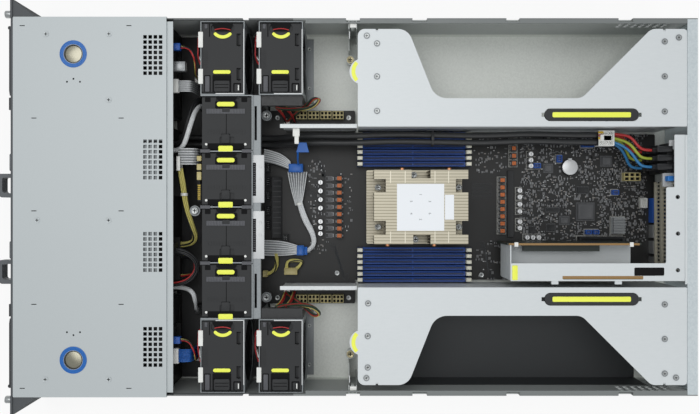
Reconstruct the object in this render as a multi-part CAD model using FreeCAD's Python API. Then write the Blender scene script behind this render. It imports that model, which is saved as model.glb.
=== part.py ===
import FreeCAD, Part
import math
import os

# Two-unit rack server seen from its real frame, millimetres.
# X is the width (right when facing the front), the front looks to -Y, Z is up.

# Overall sizes
overall_height = 88.0
chassis_width = 438.0
chassis_length = 797.0
handle_reach = 21.5
rack_width = 482.6

# Sheet thicknesses and clearances
wall = 1.2
cover_sheet = 1.0
seat_gap = 0.3
run_gap = 0.6
screw_head_proud = 0.6

# Front bays
front_plate = 2.4
bay_depth = 177.0
tray_width = 99.9
tray_height = 25.4
tray_rows = 3
row_pitch = 27.0
tray_inner_x = 112.5
tray_front_reach = 5.5
tray_side = 3.0
divider_x = 110.0
lever_length = 82.0
lever_thick = 4.0
psu_width = 73.5
psu_height = 40.0
psu_length = 170.0
psu_centres = (-39.25, 62.75)
handle_width = 28.0
handle_shift = 14.0

# Top cover
cover_start = 3.1
cover_end = 180.9
cover_lip_end = 188.0
cover_overhang = 1.4
cover_lip_drop = 2.5
latch_x = 177.2
latch_depth = 73.2
latch_radius = 9.9
vent_square = 4.2
vent_pitch = 6.0
vent_rows = 4
vent_columns = 8
vent_centres = (-176.0, -55.0, 52.0, 162.0)
vent_depth = 165.2

# Fans
side_fan_x = 173.4
side_fan_width = 81.7
side_fan_length = 47.3
side_fan_depths = (245.3, 313.1)
side_fan_base = 3.0
side_fan_height = 81.0
side_duct_radius = 37.6
centre_fan_pitch = 65.2
centre_fan_width = 62.0
centre_fan_length = 57.0
centre_fan_depth = 249.8
centre_fan_height = 62.0
centre_duct_radius = 28.8
cage_shelf_z = 19.0
fan_sheet = 1.0
blade_count = 7
blade_tip_gap = 0.9
shaft_radius = 3.0

# Board
board_top = 9.0
board_thick = 1.6
board_wide_half = 122.0
board_narrow_half = 92.0
board_front = 281.0
board_step = 400.0
board_rear_gap = 17.2
slot_start_x = 53.6
slot_pitch = 7.4
slots_per_side = 6
slot_front = 402.5
slot_rear = 544.8
slot_width = 6.2
slot_height = 12.0
latch_height = 20.0
latch_length = 7.0
sink_front = 422.1
sink_rear = 533.7
sink_half = 44.0
sink_top = 68.0
sink_base_z = 15.0
sink_base_thick = 5.0
sink_lead = 8.0
fin_pitch = 4.0
fin_thick = 0.8

# Accelerator cages
cage_inner_x = 93.4
cage_wall_inset = 2.2
cage_outer_x = 206.6
cage_strip_x = 126.2
cage_front = 402.6
cage_rear_gap = 12.4
cage_under_lip = 0.5
cutout_front_outer = 460.7
cutout_front_inner = 492.6
cutout_rear_inner_ahead = 122.2
cutout_rear_outer_ahead = 41.5
strap_length = 110.2
strap_ahead = 55.6
strap_x = 107.0
strap_slot_width = 15.0
strap_travel = 12.0
card_slot_pitch = 20.32
tab_x = 157.3
tab_reach = 9.6
tab_width = 28.0

# Rear
rear_flange = 12.0
io_floor = 9.0
slot_cover_left = -24.0
slot_cover_right = 89.0
slot_cover_base = 26.0
slot_cover_height = 18.0
slot_cover_count = 3
inlet_x = -58.0
inlet_width = 32.0
inlet_height = 24.0
inlet_length = 22.0
inlet_centres = (28.0, 58.0)

# Riser
riser_under_lip = 1.5
riser_sink_gap = 46.3
riser_rear_gap = 13.4
riser_left = 65.5
riser_right = 86.0
riser_arm_width = 22.6
riser_arm_left = -23.0
card_x = 42.2
card_thick = 2.2
card_slot_height = 11.0

# Cables
mains_diameter = 7.4
mains_end = 186.9
mains_plug_ahead = 103.0
bundle_diameter = 6.0
cable_x = (-87.5, -79.0)
cable_z = 44.0
wire_diameter = 2.4

# Power button, ear slots and supports
button_x = -98.0
button_z = 22.0
button_radius = 5.0
slot_inset = 8.75
slot_spacing_z = 76.2
slot_radius = 3.4
slot_length = 10.3
ear_depth = 26.0

# Derived places
front_y = handle_reach - (chassis_length + handle_reach) / 2
rear_y = front_y + chassis_length
half_width = chassis_width / 2
inner_half = half_width - wall
cover_top = overall_height - screw_head_proud
cover_under = cover_top - cover_sheet
tray_top = cover_under - seat_gap
board_rear = chassis_length - board_rear_gap
cage_rear = chassis_length - cage_rear_gap
cage_top = tray_top - cage_under_lip
cutout_rear_inner = cage_rear - cutout_rear_inner_ahead
cutout_rear_outer = cage_rear - cutout_rear_outer_ahead
strap_rear = cage_rear - strap_ahead
strap_front = strap_rear - strap_length
riser_top = tray_top - riser_under_lip
riser_rear = chassis_length - riser_rear_gap
riser_front = sink_rear + riser_sink_gap
riser_length = riser_rear - riser_front
riser_arm_front = riser_rear - riser_arm_width
ear_tip = rack_width / 2
mains_plug = chassis_length - mains_plug_ahead
fan_wall_front = centre_fan_depth - centre_fan_length / 2 - 1.6
fan_wall_rear = centre_fan_depth + centre_fan_length / 2 + 2.0
board_under = board_top - board_thick
row_base = wall + 1.0 + seat_gap
tray_outer_x = tray_inner_x + tray_width
shelf_top = tray_top - psu_height - 2 * seat_gap - 1.4
psu_base = shelf_top + seat_gap
centre_fan_base = cage_shelf_z + wall + seat_gap
lip_wide = 6.0
lip_narrow = 2.5
fan_shift = -3.0

V = FreeCAD.Vector
parts = {}


def deep(depth):
    return front_y + depth


def block(x0, x1, y0, y1, z0, z1):
    return Part.makeBox(x1 - x0, y1 - y0, z1 - z0, V(x0, y0, z0))


def rod(radius, base, axis, length):
    return Part.makeCylinder(radius, length, base, axis)


def place(axis, level, a, b):
    if axis == "x":
        return V(level, a, b)
    if axis == "y":
        return V(a, level, b)
    return V(a, b, level)


def outline(points):
    """Corners (a, b, radius) become a list of straight and arc stretches."""
    stretches = []
    corners = []
    for index, (a, b, radius) in enumerate(points):
        corner = V(a, b, 0)
        before = V(points[index - 1][0], points[index - 1][1], 0)
        following = points[(index + 1) % len(points)]
        after = V(following[0], following[1], 0)
        if radius == 0:
            corners.append((corner, None, corner))
            continue
        back = (before - corner).normalize()
        ahead = (after - corner).normalize()
        angle = back.getAngle(ahead)
        reach = radius / math.tan(angle / 2)
        inward = (back + ahead).normalize()
        centre = corner + inward * (radius / math.sin(angle / 2))
        corners.append((corner + back * reach, centre - inward * radius, corner + ahead * reach))
    for index, (start, middle, end) in enumerate(corners):
        if middle is not None:
            stretches.append((start, middle, end))
        following = corners[(index + 1) % len(corners)][0]
        if (following - end).Length > 1e-6:
            stretches.append((end, following))
    return stretches


def prism(points, axis, low, high):
    """A flat profile with rounded corners, pushed along X, Y or Z."""
    edges = []
    for stretch in outline(points):
        ends = [place(axis, low, p.x, p.y) for p in stretch]
        if len(ends) == 3:
            edges.append(Part.Arc(*ends).toShape())
        else:
            edges.append(Part.LineSegment(*ends).toShape())
    face = Part.Face(Part.Wire(edges))
    push = {"x": V(high - low, 0, 0), "y": V(0, high - low, 0), "z": V(0, 0, high - low)}[axis]
    return face.extrude(push)


def rounded(a0, a1, b0, b1, radius, axis, low, high):
    corners = [(a0, b0, radius), (a1, b0, radius), (a1, b1, radius), (a0, b1, radius)]
    return prism(corners, axis, low, high)


def union(shapes):
    joined = shapes[0]
    if len(shapes) > 1:
        joined = joined.multiFuse(shapes[1:])
    return joined.removeSplitter()


def group(shapes):
    return Part.makeCompound(shapes)


def mirror(shape):
    return shape.mirror(V(0, 0, 0), V(1, 0, 0))


def moved(shape, x, y, z):
    copy = shape.copy()
    copy.translate(V(x, y, z))
    return copy


def spaced(middle, pitch, count):
    return [middle + (index - (count - 1) / 2) * pitch for index in range(count)]


def tube(diameter, points):
    """A cable along straight runs joined by tangent arcs."""
    route = [V(*point) for point in points]
    edges = []
    start = route[0]
    for index in range(1, len(route) - 1):
        corner = route[index]
        back = route[index - 1] - corner
        ahead = route[index + 1] - corner
        shorter = min(back.Length, ahead.Length)
        back.normalize()
        ahead.normalize()
        turn = math.pi - back.getAngle(ahead)
        reach = 0.45 * shorter
        radius = reach / math.tan(turn / 2)
        inward = (back + ahead).normalize()
        middle = corner + inward * (radius / math.cos(turn / 2) - radius)
        first = corner + back * reach
        last = corner + ahead * reach
        edges.append(Part.LineSegment(start, first).toShape())
        edges.append(Part.Arc(first, middle, last).toShape())
        start = last
    edges.append(Part.LineSegment(start, route[-1]).toShape())
    path = Part.Wire(edges)
    heading = (route[1] - route[0]).normalize()
    ring = Part.Wire([Part.makeCircle(diameter / 2, route[0], heading)])
    pipe = path.makePipeShell([ring], True, False)
    if pipe.Volume < 0:
        pipe.reverse()
    return pipe


def keep(name, shape):
    parts[name] = shape


# Chassis tray: floor and walls bent from one sheet, with lips, notches and standoffs


def board_screw_places():
    return [(-112.8, 301.8), (-112.8, 392.0), (114.8, 301.8), (114.8, 392.0), (-81.6, 377.3),
            (83.6, 377.3), (-86.0, 560.0), (86.0, 560.0), (-86.0, board_rear - 89.8),
            (86.0, board_rear - 19.8)]


def chassis_tray():
    low = front_y + front_plate
    section = [(-half_width, 0, 0), (half_width, 0, 0), (half_width, tray_top, 0),
               (inner_half, tray_top, 0), (inner_half, wall, 0), (-inner_half, wall, 0),
               (-inner_half, tray_top, 0), (-half_width, tray_top, 0)]
    body = [prism(section, "y", low, rear_y)]
    lip_low = tray_top - wall
    wide_start = deep(342.0)
    lip_end = rear_y - rear_flange - seat_gap
    for side in (-1, 1):
        for width, start, end in ((lip_narrow, deep(189.0), wide_start), (lip_wide, wide_start, lip_end)):
            x_values = sorted((side * (inner_half - width + wall), side * inner_half))
            body.append(block(x_values[0], x_values[1], start, end, lip_low, tray_top))
    for x, depth in board_screw_places():
        body.append(rod(3.2, V(x, deep(depth), wall), V(0, 0, 1), board_under - wall))
    tray = union(body)
    cuts = []
    notch_depth = 8.0
    for depth, length in ((269.0, 7.0), (389.0, 16.0), (466.0, 17.0), (575.0, 15.5),
                          (chassis_length - 92.0, 17.0)):
        for side in (-1, 1):
            x_values = sorted((side * (inner_half - 3.0), side * half_width))
            cuts.append(block(x_values[0], x_values[1], deep(depth), deep(depth + length),
                              tray_top - notch_depth, tray_top))
    for row in spaced(58.0, 8.0, 3):
        for depth in spaced(chassis_length - 53.0, 9.0, 7):
            for side in (-1, 1):
                x_values = sorted((side * inner_half, side * half_width))
                cuts.append(block(x_values[0], x_values[1], deep(depth) - 2.5, deep(depth) + 2.5,
                                  row - 2.5, row + 2.5))
    return tray.cut(group(cuts))


# Rear panel: windows for the cages, the ports, the slot covers and the mains inlets


port_list = (("vga", 4.3, 31.0, 12.5), ("lan_a", 30.5, 16.0, 13.5), ("lan_b", 50.6, 16.0, 13.5),
             ("usb", 66.4, 7.4, 15.6))


def slot_cover_rows():
    return [slot_cover_base + index * card_slot_pitch for index in range(slot_cover_count)]


def rear_panel():
    low = rear_y - wall
    plate = block(-inner_half, inner_half, low, rear_y, wall, tray_top)
    flange = block(-inner_half, inner_half, rear_y - rear_flange, rear_y, tray_top - wall, tray_top)
    panel = union([plate, flange])
    cuts = []
    for side in (-1, 1):
        x_values = sorted((side * (cage_inner_x + 5.0), side * (cage_outer_x - 6.0)))
        cuts.append(rounded(x_values[0], x_values[1], 5.0, tray_top - 6.1, 3.0, "y", low, rear_y))
        for row in spaced(43.0, 8.5, 8):
            centre = side * (cage_outer_x + 3.0)
            cuts.append(block(centre - 3.0, centre + 3.0, low, rear_y, row - 3.0, row + 3.0))
    for name, x, width, height in port_list:
        cuts.append(block(x - width / 2 - 0.5, x + width / 2 + 0.5, low, rear_y,
                          io_floor + 0.4, io_floor + height + 0.6))
    for base in slot_cover_rows():
        cuts.append(block(slot_cover_left + 6.0, slot_cover_right - 6.0, low, rear_y,
                          base + 3.0, base + slot_cover_height - 3.0))
    for centre in inlet_centres:
        cuts.append(block(inlet_x - inlet_width / 2 - seat_gap, inlet_x + inlet_width / 2 + seat_gap,
                          low, rear_y, centre - inlet_height / 2 - seat_gap,
                          centre + inlet_height / 2 + seat_gap))
    return panel.cut(group(cuts))


def slot_covers():
    covers = []
    thick = 1.0
    outside = rear_y - wall
    for base in slot_cover_rows():
        blank = rounded(slot_cover_left, slot_cover_right, base, base + slot_cover_height, 1.5, "y",
                        outside - thick, outside)
        middle = (slot_cover_left + slot_cover_right) / 2
        slots = []
        for x in spaced(middle, 9.0, 10):
            slots.append(block(x - 3.2, x + 3.2, outside - thick, outside,
                               base + 6.4, base + slot_cover_height - 6.4))
        tab = block(slot_cover_right - 12.0, slot_cover_right, outside - 8.0, outside - thick,
                    base + slot_cover_height - thick, base + slot_cover_height)
        covers.append(union([blank.cut(group(slots)), tab]))
    return group(covers)


# Front bays: front plate, dividers, tray ledges and the shelf under the supplies


def row_bottom(row):
    return row_base + row * row_pitch


def front_bay_frame():
    low = front_y
    high = front_y + front_plate
    face = block(-half_width, half_width, low, high, seat_gap, tray_top)
    cuts = []
    bay_high = row_bottom(tray_rows - 1) + tray_height + run_gap
    for side in (-1, 1):
        x_values = sorted((side * (tray_inner_x - run_gap), side * (tray_outer_x + run_gap)))
        cuts.append(block(x_values[0], x_values[1], low, high, row_base - seat_gap, bay_high))
    for centre in psu_centres:
        reach = psu_width / 2 + run_gap
        cuts.append(block(centre - reach, centre + reach, low, high, psu_base - seat_gap,
                          psu_base + psu_height + run_gap))
    for x in spaced(45.0, 8.0, 14):
        for z in spaced(22.5, 8.0, 4):
            cuts.append(block(x - 3.0, x + 3.0, low, high, z - 3.0, z + 3.0))
    for x in (-44.0, -28.0):
        cuts.append(rounded(x - 6.9, x + 6.9, 15.0, 21.0, 0.6, "y", low, high))
    cuts.append(rounded(-81.0, -59.0, 10.0, 26.0, 2.0, "y", low, high))
    cuts.append(rod(button_radius + run_gap, V(button_x, low, button_z), V(0, 1, 0), front_plate))
    pieces = [face.cut(group(cuts))]
    inside = high
    back = deep(bay_depth)
    for side in (-1, 1):
        inner = sorted((side * divider_x, side * (divider_x + wall)))
        outer = sorted((side * (inner_half - wall), side * inner_half))
        pieces.append(block(inner[0], inner[1], inside, back, wall, tray_top))
        pieces.append(block(outer[0], outer[1], inside, back, wall, tray_top))
        for row in range(tray_rows):
            top = row_bottom(row) - seat_gap
            near = sorted((side * (divider_x + wall), side * (tray_inner_x + 2.5)))
            far = sorted((side * (tray_outer_x - 2.5), side * (inner_half - wall)))
            pieces.append(block(near[0], near[1], inside, back, top - 1.0, top))
            pieces.append(block(far[0], far[1], inside, back, top - 1.0, top))
    pieces.append(block(-divider_x, divider_x, inside, back, shelf_top - wall, shelf_top))
    for centre in psu_centres:
        for side in (-1, 1):
            x = centre + side * (psu_width / 2 + run_gap + wall / 2)
            pieces.append(block(x - wall / 2, x + wall / 2, inside, back, shelf_top, tray_top))
    return union(pieces)


# Power button in the front plate


def power_button():
    cap = rod(button_radius, V(button_x, front_y - 1.8, button_z), V(0, 1, 0), 6.0)
    cap = cap.makeFillet(0.8, [cap.Edges[0]]) if len(cap.Edges) > 1 else cap
    inner = front_y + front_plate + seat_gap
    flange = rod(button_radius + 1.6, V(button_x, inner, button_z), V(0, 1, 0), 1.4)
    return union([cap, flange])


# Top cover over the front bays


def front_cover():
    edge = half_width + cover_overhang
    plate = rounded(-edge, edge, deep(cover_start), deep(cover_end), 1.0, "z", cover_under, cover_top)
    strip_top = cover_top - cover_lip_drop
    strip = block(-edge + 5.0, edge - 5.0, deep(cover_end), deep(cover_lip_end),
                  strip_top - cover_sheet, strip_top)
    joggle = block(-edge + 5.0, edge - 5.0, deep(cover_end) - cover_sheet, deep(cover_end),
                   strip_top - cover_sheet, cover_top)
    pieces = [plate, strip, joggle]
    for side in (-1, 1):
        x_values = sorted((side * (half_width + seat_gap), side * edge))
        pieces.append(block(x_values[0], x_values[1], deep(28.0), deep(cover_end), 66.0, cover_top))
    for side in (-1, 1):
        centre = V(side * latch_x, deep(latch_depth), cover_under)
        pieces.append(rod(15.8, centre, V(0, 0, 1), cover_sheet + 0.3))
    cover = union(pieces)
    cuts = []
    for side in (-1, 1):
        centre = V(side * latch_x, deep(latch_depth), cover_under)
        cuts.append(rod(latch_radius + run_gap, centre, V(0, 0, 1), 2.0))
        for x, depth in ((145.0, 65.8), (148.4, 73.3), (145.0, 80.9)):
            cuts.append(rod(1.1, V(side * x, deep(depth), cover_under), V(0, 0, 1), 2.0))
        for depth in (14.0, 137.5):
            cuts.append(block(side * 210.0 - 0.5, side * 210.0 + 0.5, deep(depth) - 3.0, deep(depth) + 3.0,
                              cover_under, cover_top))
    for x in (-103.0, 4.5, 112.7):
        for depth in (27.5, 128.5):
            cuts.append(block(x - 0.5, x + 0.5, deep(depth) - 3.0, deep(depth) + 3.0,
                              cover_under, cover_top))
    reach = vent_square / 2
    for centre in vent_centres:
        for x in spaced(centre, vent_pitch, vent_columns):
            for depth in spaced(vent_depth, vent_pitch, vent_rows):
                cuts.append(block(x - reach, x + reach, deep(depth) - reach, deep(depth) + reach,
                                  cover_under, cover_top))
    return cover.cut(group(cuts))


def latch_button():
    """Domed button whose rim is held under the cover."""
    base = cover_under - seat_gap - 1.4
    rim = rod(latch_radius + run_gap + 1.0, V(0, 0, base), V(0, 0, 1), 1.4)
    top = overall_height - 0.1
    rise = 1.0
    dome_radius = (latch_radius ** 2 + rise ** 2) / (2 * rise)
    stem = rod(latch_radius, V(0, 0, base + 1.0), V(0, 0, 1), top - base - 1.0)
    dome = Part.makeSphere(dome_radius, V(0, 0, top - dome_radius))
    return union([rim, stem.common(dome)])


# Rack ears: front plate with two rack slots, side web and top gusset


def rack_ear():
    tip = ear_tip
    plate = rounded(half_width, tip, 0.5, overall_height - 0.5, 1.5, "y", front_y, front_y + front_plate)
    cuts = []
    centre_x = ear_tip - slot_inset
    reach = slot_length / 2
    for side in (-1, 1):
        z = overall_height / 2 + side * slot_spacing_z / 2
        cuts.append(rounded(centre_x - reach, centre_x + reach, z - slot_radius, z + slot_radius,
                            slot_radius - 0.001, "y", front_y, front_y + front_plate))
    plate = plate.cut(group(cuts))
    web = block(half_width, half_width + 1.6, front_y + front_plate, deep(ear_depth), 4.0, 60.0)
    gusset_top = cover_under - seat_gap
    inner = half_width + cover_overhang + run_gap
    gusset = prism([(inner, front_y + front_plate, 0), (tip - 1.0, front_y + front_plate, 0),
                    (inner + 2.0, deep(ear_depth), 1.5), (inner, deep(ear_depth), 0)],
                   "z", gusset_top - 1.5, gusset_top)
    rib = prism([(front_y + front_plate, gusset_top - 1.5, 0), (front_y + front_plate, 4.0, 0),
                 (deep(ear_depth), 4.0, 0), (deep(ear_depth), gusset_top - 1.5, 0)], "x", inner, inner + 1.2)
    rib_foot = block(half_width + 1.6, inner, deep(ear_depth) - 14.0, deep(ear_depth), 40.0, 60.0)
    return union([plate, web, gusset, rib, rib_foot])


# Drive trays: bezel block, side rails, back rail and the hinged lever


def drive_tray(side, row):
    """Built for the right-hand bay from its inner side; mirrored for the left."""
    x0 = tray_inner_x
    x1 = tray_outer_x
    z0 = row_bottom(row)
    z1 = z0 + tray_height
    front = front_y - tray_front_reach + lever_thick + run_gap
    body_front = front_y + 1.5
    frame_outer = rounded(x0, x1, z0, z1, 1.0, "y", front, body_front + 6.0)
    openings = []
    for x in spaced((x0 + x1) / 2 - 6.0, 9.0, 8):
        for z in spaced((z0 + z1) / 2, 8.5, 2):
            openings.append(prism([(x - 3.6, z, 0), (x - 1.8, z - 3.1, 0), (x + 1.8, z - 3.1, 0),
                                   (x + 3.6, z, 0), (x + 1.8, z + 3.1, 0), (x - 1.8, z + 3.1, 0)],
                                  "y", front, body_front + 6.0))
    hinge_y = front - lever_thick / 2 - run_gap
    openings.append(rod(3.4, V(x1 - 3.4, hinge_y, z0 + 3.1), V(0, 0, 1), tray_height - 6.2))
    bezel = frame_outer.cut(group(openings))
    back = deep(bay_depth) - 3.0
    rails = []
    for x in (x0, x1 - tray_side):
        rail = block(x, x + tray_side, body_front + 6.0, back, z0, z1 - 6.0)
        rails.append(rail)
    floor = block(x0 + tray_side, x1 - tray_side, body_front + 6.0, back, z0, z0 + 1.0)
    window = rounded(x0 + 14.0, x1 - 14.0, deep(40.0), deep(140.0), 8.0, "z", z0, z0 + 1.0)
    catch_x = x0 + tray_width - lever_length - 2.0
    catch = block(x0 + 1.0, catch_x - run_gap, front - lever_thick, front, z0 + 2.0, z1 - 2.0)
    boss = rod(2.2, V(x1 - 3.4, hinge_y, z0 + 1.0), V(0, 0, 1), 2.0)
    boss_web = block(x1 - 5.0, x1 - 1.8, hinge_y, front, z0 + 1.0, z0 + 3.0)
    boss_top = moved(union([boss, boss_web]), 0, 0, tray_height - 4.0)
    tray = union([bezel] + rails + [floor.cut(window), catch, boss, boss_web, boss_top])
    return tray if side > 0 else mirror(tray)


def tray_lever(side, row):
    z0 = row_bottom(row) + 3.0 + run_gap
    z1 = row_bottom(row) + tray_height - 3.0 - run_gap
    hinge_x = tray_outer_x - 3.4
    front = front_y - tray_front_reach
    back = front + lever_thick
    end = tray_outer_x - lever_length
    plan = [(end, front + 0.8, 0.6), (end + 6.0, front, 3.0), (tray_outer_x - 4.0, front, 3.0),
            (tray_outer_x - 1.6, front + 1.8, 0.8), (tray_outer_x - 2.0, back, 0.4), (end, back, 0.6)]
    lever = prism(plan, "z", z0, z1)
    grip = rounded(end + 10.0, tray_outer_x - 14.0, z0 + 4.0, z1 - 4.0, 3.0, "y", front, front + 1.6)
    lever = lever.cut(grip)
    pin = rod(1.2, V(hinge_x, front + lever_thick / 2, z0 - 0.4), V(0, 0, 1), z1 - z0 + 0.8)
    lever = union([lever, pin])
    return lever if side > 0 else mirror(lever)


# Power supplies: box, front face with fan guard, inlet, handle; and the release tab


def power_supply(centre):
    x0 = centre - psu_width / 2
    x1 = centre + psu_width / 2
    z0 = psu_base
    z1 = psu_base + psu_height
    body = rounded(x0, x1, z0, z1, 1.0, "y", front_y, deep(psu_length))
    cuts = [rounded(x0 + 5.0, x0 + 33.0, z0 + 8.0, z0 + 30.0, 4.0, "y", front_y, front_y + 9.0)]
    fan_x = x1 - 21.0
    for z in spaced(z0 + psu_height / 2, 5.4, 6):
        half_slot = math.sqrt(max(16.5 ** 2 - (z - z0 - psu_height / 2) ** 2, 1.0))
        cuts.append(block(fan_x - half_slot, fan_x + half_slot, front_y, front_y + 3.0, z - 1.7, z + 1.7))
    pins = [block(x0 + 19.0 + dx - 1.0, x0 + 19.0 + dx + 1.0, front_y + 2.0, front_y + 9.0,
                  z0 + 17.0, z0 + 23.0) for dx in (-7.0, 0.0, 7.0)]
    shroud = rounded(x0 + 14.0, x0 + 34.0, z0 + 31.5, z1 - 1.0, 2.0, "y", front_y - 2.6, front_y)
    edge_card = block(centre - 24.0, centre + 24.0, deep(psu_length), deep(psu_length) + 5.0,
                      z0 + 19.0, z0 + 20.6)
    middle = centre + handle_shift
    low_x = middle - handle_width / 2
    high_x = middle + handle_width / 2
    tip = front_y - handle_reach
    loop = prism([(low_x, front_y, 0), (low_x, tip, 2.0), (high_x, tip, 5.0), (high_x, front_y, 0)],
                 "z", z0 + 13.0, z0 + 27.0)
    hole = prism([(low_x + 4.5, front_y, 0), (low_x + 4.5, tip + 4.5, 2.0),
                  (high_x - 5.5, tip + 4.5, 3.0), (high_x - 4.5, front_y, 0)],
                 "z", z0 + 13.0, z0 + 27.0)
    return union([body.cut(group(cuts))] + pins + [shroud, edge_card, loop.cut(hole)])


def release_tab(centre):
    x = centre + psu_width / 2 - 4.3
    z0 = psu_base + 15.0
    stem = block(x - 1.6, x + 1.6, front_y - 4.4, front_y - seat_gap, z0, z0 + 10.0)
    pad = rounded(x - 2.4, x + 1.6, front_y - 5.6, front_y - 3.6, 0.9, "z", z0, z0 + 10.0)
    return union([stem, pad])


# Backplanes behind the trays and supplies


def lane(share):
    """Y at a share of the cable lane between the backplanes and the fan wall."""
    start = bay_depth + seat_gap + 1.6
    return deep(start + share * (fan_wall_front - start))


def backplanes():
    boards = []
    face = deep(bay_depth) + seat_gap
    thick = 1.6
    for side in (-1, 1):
        x_values = sorted((side * (tray_inner_x - 1.0), side * (inner_half - wall)))
        board = block(x_values[0], x_values[1], face, face + thick, wall + 0.3, 82.0)
        holes = []
        middle = (x_values[0] + x_values[1]) / 2
        for row in range(tray_rows):
            z = row_bottom(row) + tray_height / 2
            for dx in (-30.0, 0.0, 30.0):
                holes.append(block(middle + dx - 10.0, middle + dx + 10.0, face, face + thick,
                                   z - 3.5, z + 3.5))
        sockets = [block(middle - 21.0, middle + 21.0, face + thick, face + thick + 6.0, z - 1.0, z + 5.5)
                   for z in (row_bottom(0) + tray_height, row_bottom(1) + tray_height)]
        boards.append(union([board.cut(group(holes))] + sockets))
    low_x = min(psu_centres) - psu_width / 2 - 20.0
    high_x = max(psu_centres) + psu_width / 2 + 4.0
    pieces = [block(low_x, high_x, face, face + thick, wall + 0.3, psu_base + psu_height)]
    for centre in psu_centres:
        pieces.append(block(centre - 26.0, centre + 26.0, face + thick, face + thick + 7.0, 30.0, 42.0))
        pieces.append(block(centre - 20.0, centre - 4.0, face + thick, face + thick + 8.0, 56.0, 74.0))
    for x in cable_x:
        pieces.append(block(x - 4.0, x + 4.0, face + thick, deep(mains_end), 4.0, 16.0))
    boards.append(union(pieces))
    base = wall + seat_gap
    shelf = block(-100.0, 100.0, lane(0.22), lane(0.91), base, base + thick)
    header = block(-71.0, -27.5, lane(0.56), lane(0.66), base + thick, 20.0)
    boards.append(union([shelf, header]))
    return group(boards)


# Fans: bladed rotor, square housing with duct, stator hub and struts


def blade(root_radius, tip_radius, length, lead, lag):
    """One twisted, cambered blade about the Y axis, from inside the hub to past the tip."""
    sections = []
    for level, pitch, chord in ((root_radius * 0.72, lead, length), (tip_radius + 2.0, lag, length * 0.95)):
        slope = math.radians(pitch)
        corners = []
        for along, rise in ((-0.5, 0.0), (0.0, 0.14), (0.5, 0.0), (0.5, -0.05), (0.0, 0.09), (-0.5, -0.05)):
            step = along * chord
            lift = rise * chord
            corners.append(V(step * math.sin(slope) + lift * math.cos(slope),
                             step * math.cos(slope) - lift * math.sin(slope), level))
        corners.append(corners[0])
        sections.append(Part.makePolygon(corners))
    return Part.makeLoft(sections, True, True)


def rotor(duct_radius, length):
    hub_radius = duct_radius * 0.46
    tip = duct_radius - blade_tip_gap
    hub = rod(hub_radius, V(0, -length / 2, 0), V(0, 1, 0), length)
    bore = rod(shaft_radius + run_gap, V(0, length / 2 - 10.0, 0), V(0, 1, 0), 10.0)
    lip = rod(hub_radius - 3.0, V(0, -length / 2, 0), V(0, 1, 0), 0.8)
    one = blade(hub_radius, tip, length * 0.86, 26.0, 42.0)
    trim = rod(tip, V(0, -length / 2, 0), V(0, 1, 0), length)
    blades = []
    for index in range(blade_count):
        copy = one.copy()
        copy.rotate(V(0, 0, 0), V(0, 1, 0), 360.0 * index / blade_count)
        blades.append(copy.common(trim))
    return union([hub.cut(group([bore, lip]))] + blades)


def fan_housing(width, length, height, duct_radius, rotor_length, details):
    """Centred on the rotor axis; the stator hub closes the rear end."""
    low = -height / 2
    body = rounded(-width / 2, width / 2, low, -low, 2.0, "y", -length / 2, length / 2)
    duct = rod(duct_radius, V(0, -length / 2, 0), V(0, 1, 0), length)
    corner_cuts = []
    for side in (-1, 1):
        for up in (-1, 1):
            x = side * (width / 2 - 5.0)
            z = up * (height / 2 - 5.0)
            corner_cuts.append(rod(2.1, V(x, -length / 2, z), V(0, 1, 0), 4.0))
    body = body.cut(group([duct] + corner_cuts))
    hub_radius = duct_radius * 0.46
    stator_start = rotor_length / 2 + run_gap + fan_shift
    stator = rod(hub_radius, V(0, stator_start, 0), V(0, 1, 0), length / 2 - stator_start)
    struts = []
    for index in range(4):
        strut = block(-1.4, 1.4, length / 2 - 4.0, length / 2, 0, duct_radius + 1.0)
        strut.rotate(V(0, 0, 0), V(0, 1, 0), 45.0 + 90.0 * index)
        struts.append(strut)
    shaft = rod(shaft_radius, V(0, stator_start - 9.0, 0), V(0, 1, 0), 9.0 + 1.0)
    body = union([body, stator, shaft] + struts)
    return body.cut(group(details)) if details else body


def side_fan_details():
    """Pockets in the top face, placed from the module's left edge."""
    top = side_fan_height / 2
    left = -side_fan_width / 2
    pocket = 2.0
    cuts = [rounded(left + 2.0, left + 11.5, -13.5, 14.0, 4.0, "z", top - pocket, top),
            rounded(left + 55.0, left + 60.5, -10.5, 10.0, 1.0, "z", top - pocket, top),
            rounded(left + 66.0, left + 81.0, -10.5, 9.0, 1.5, "z", top - pocket, top),
            block(left + 13.5, left + 27.5, 18.0, 20.5, top - pocket, top),
            block(left + 53.5, left + 67.5, 18.0, 20.5, top - pocket, top)]
    return cuts


def centre_fan_details():
    top = centre_fan_height / 2
    left = -centre_fan_width / 2
    return [rounded(left + 1.8, left + 15.8, -12.5, 15.0, 1.5, "z", top - 1.6, top),
            rounded(left + 47.0, left + 60.0, -8.0, 9.0, 1.5, "z", top - 1.6, top)]


# Fan cage: sleeves round the side fans, dividers and shelf under the centre fans


def fan_sleeve(x, depth):
    inner_x = side_fan_width / 2 + 0.9
    inner_y = side_fan_length / 2 + 0.9
    y = deep(depth)
    z1 = side_fan_base + side_fan_height
    outer = block(x - inner_x - fan_sheet, x + inner_x + fan_sheet, y - inner_y - fan_sheet,
                  y + inner_y + fan_sheet, wall, z1)
    inside = block(x - inner_x, x + inner_x, y - inner_y, y + inner_y, side_fan_base - seat_gap, z1)
    axis_z = side_fan_base + side_fan_height / 2
    air = rod(side_duct_radius, V(x, y - inner_y - 2 * fan_sheet, axis_z), V(0, 1, 0),
              2 * inner_y + 4 * fan_sheet)
    return outer.cut(group([inside, air]))


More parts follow.
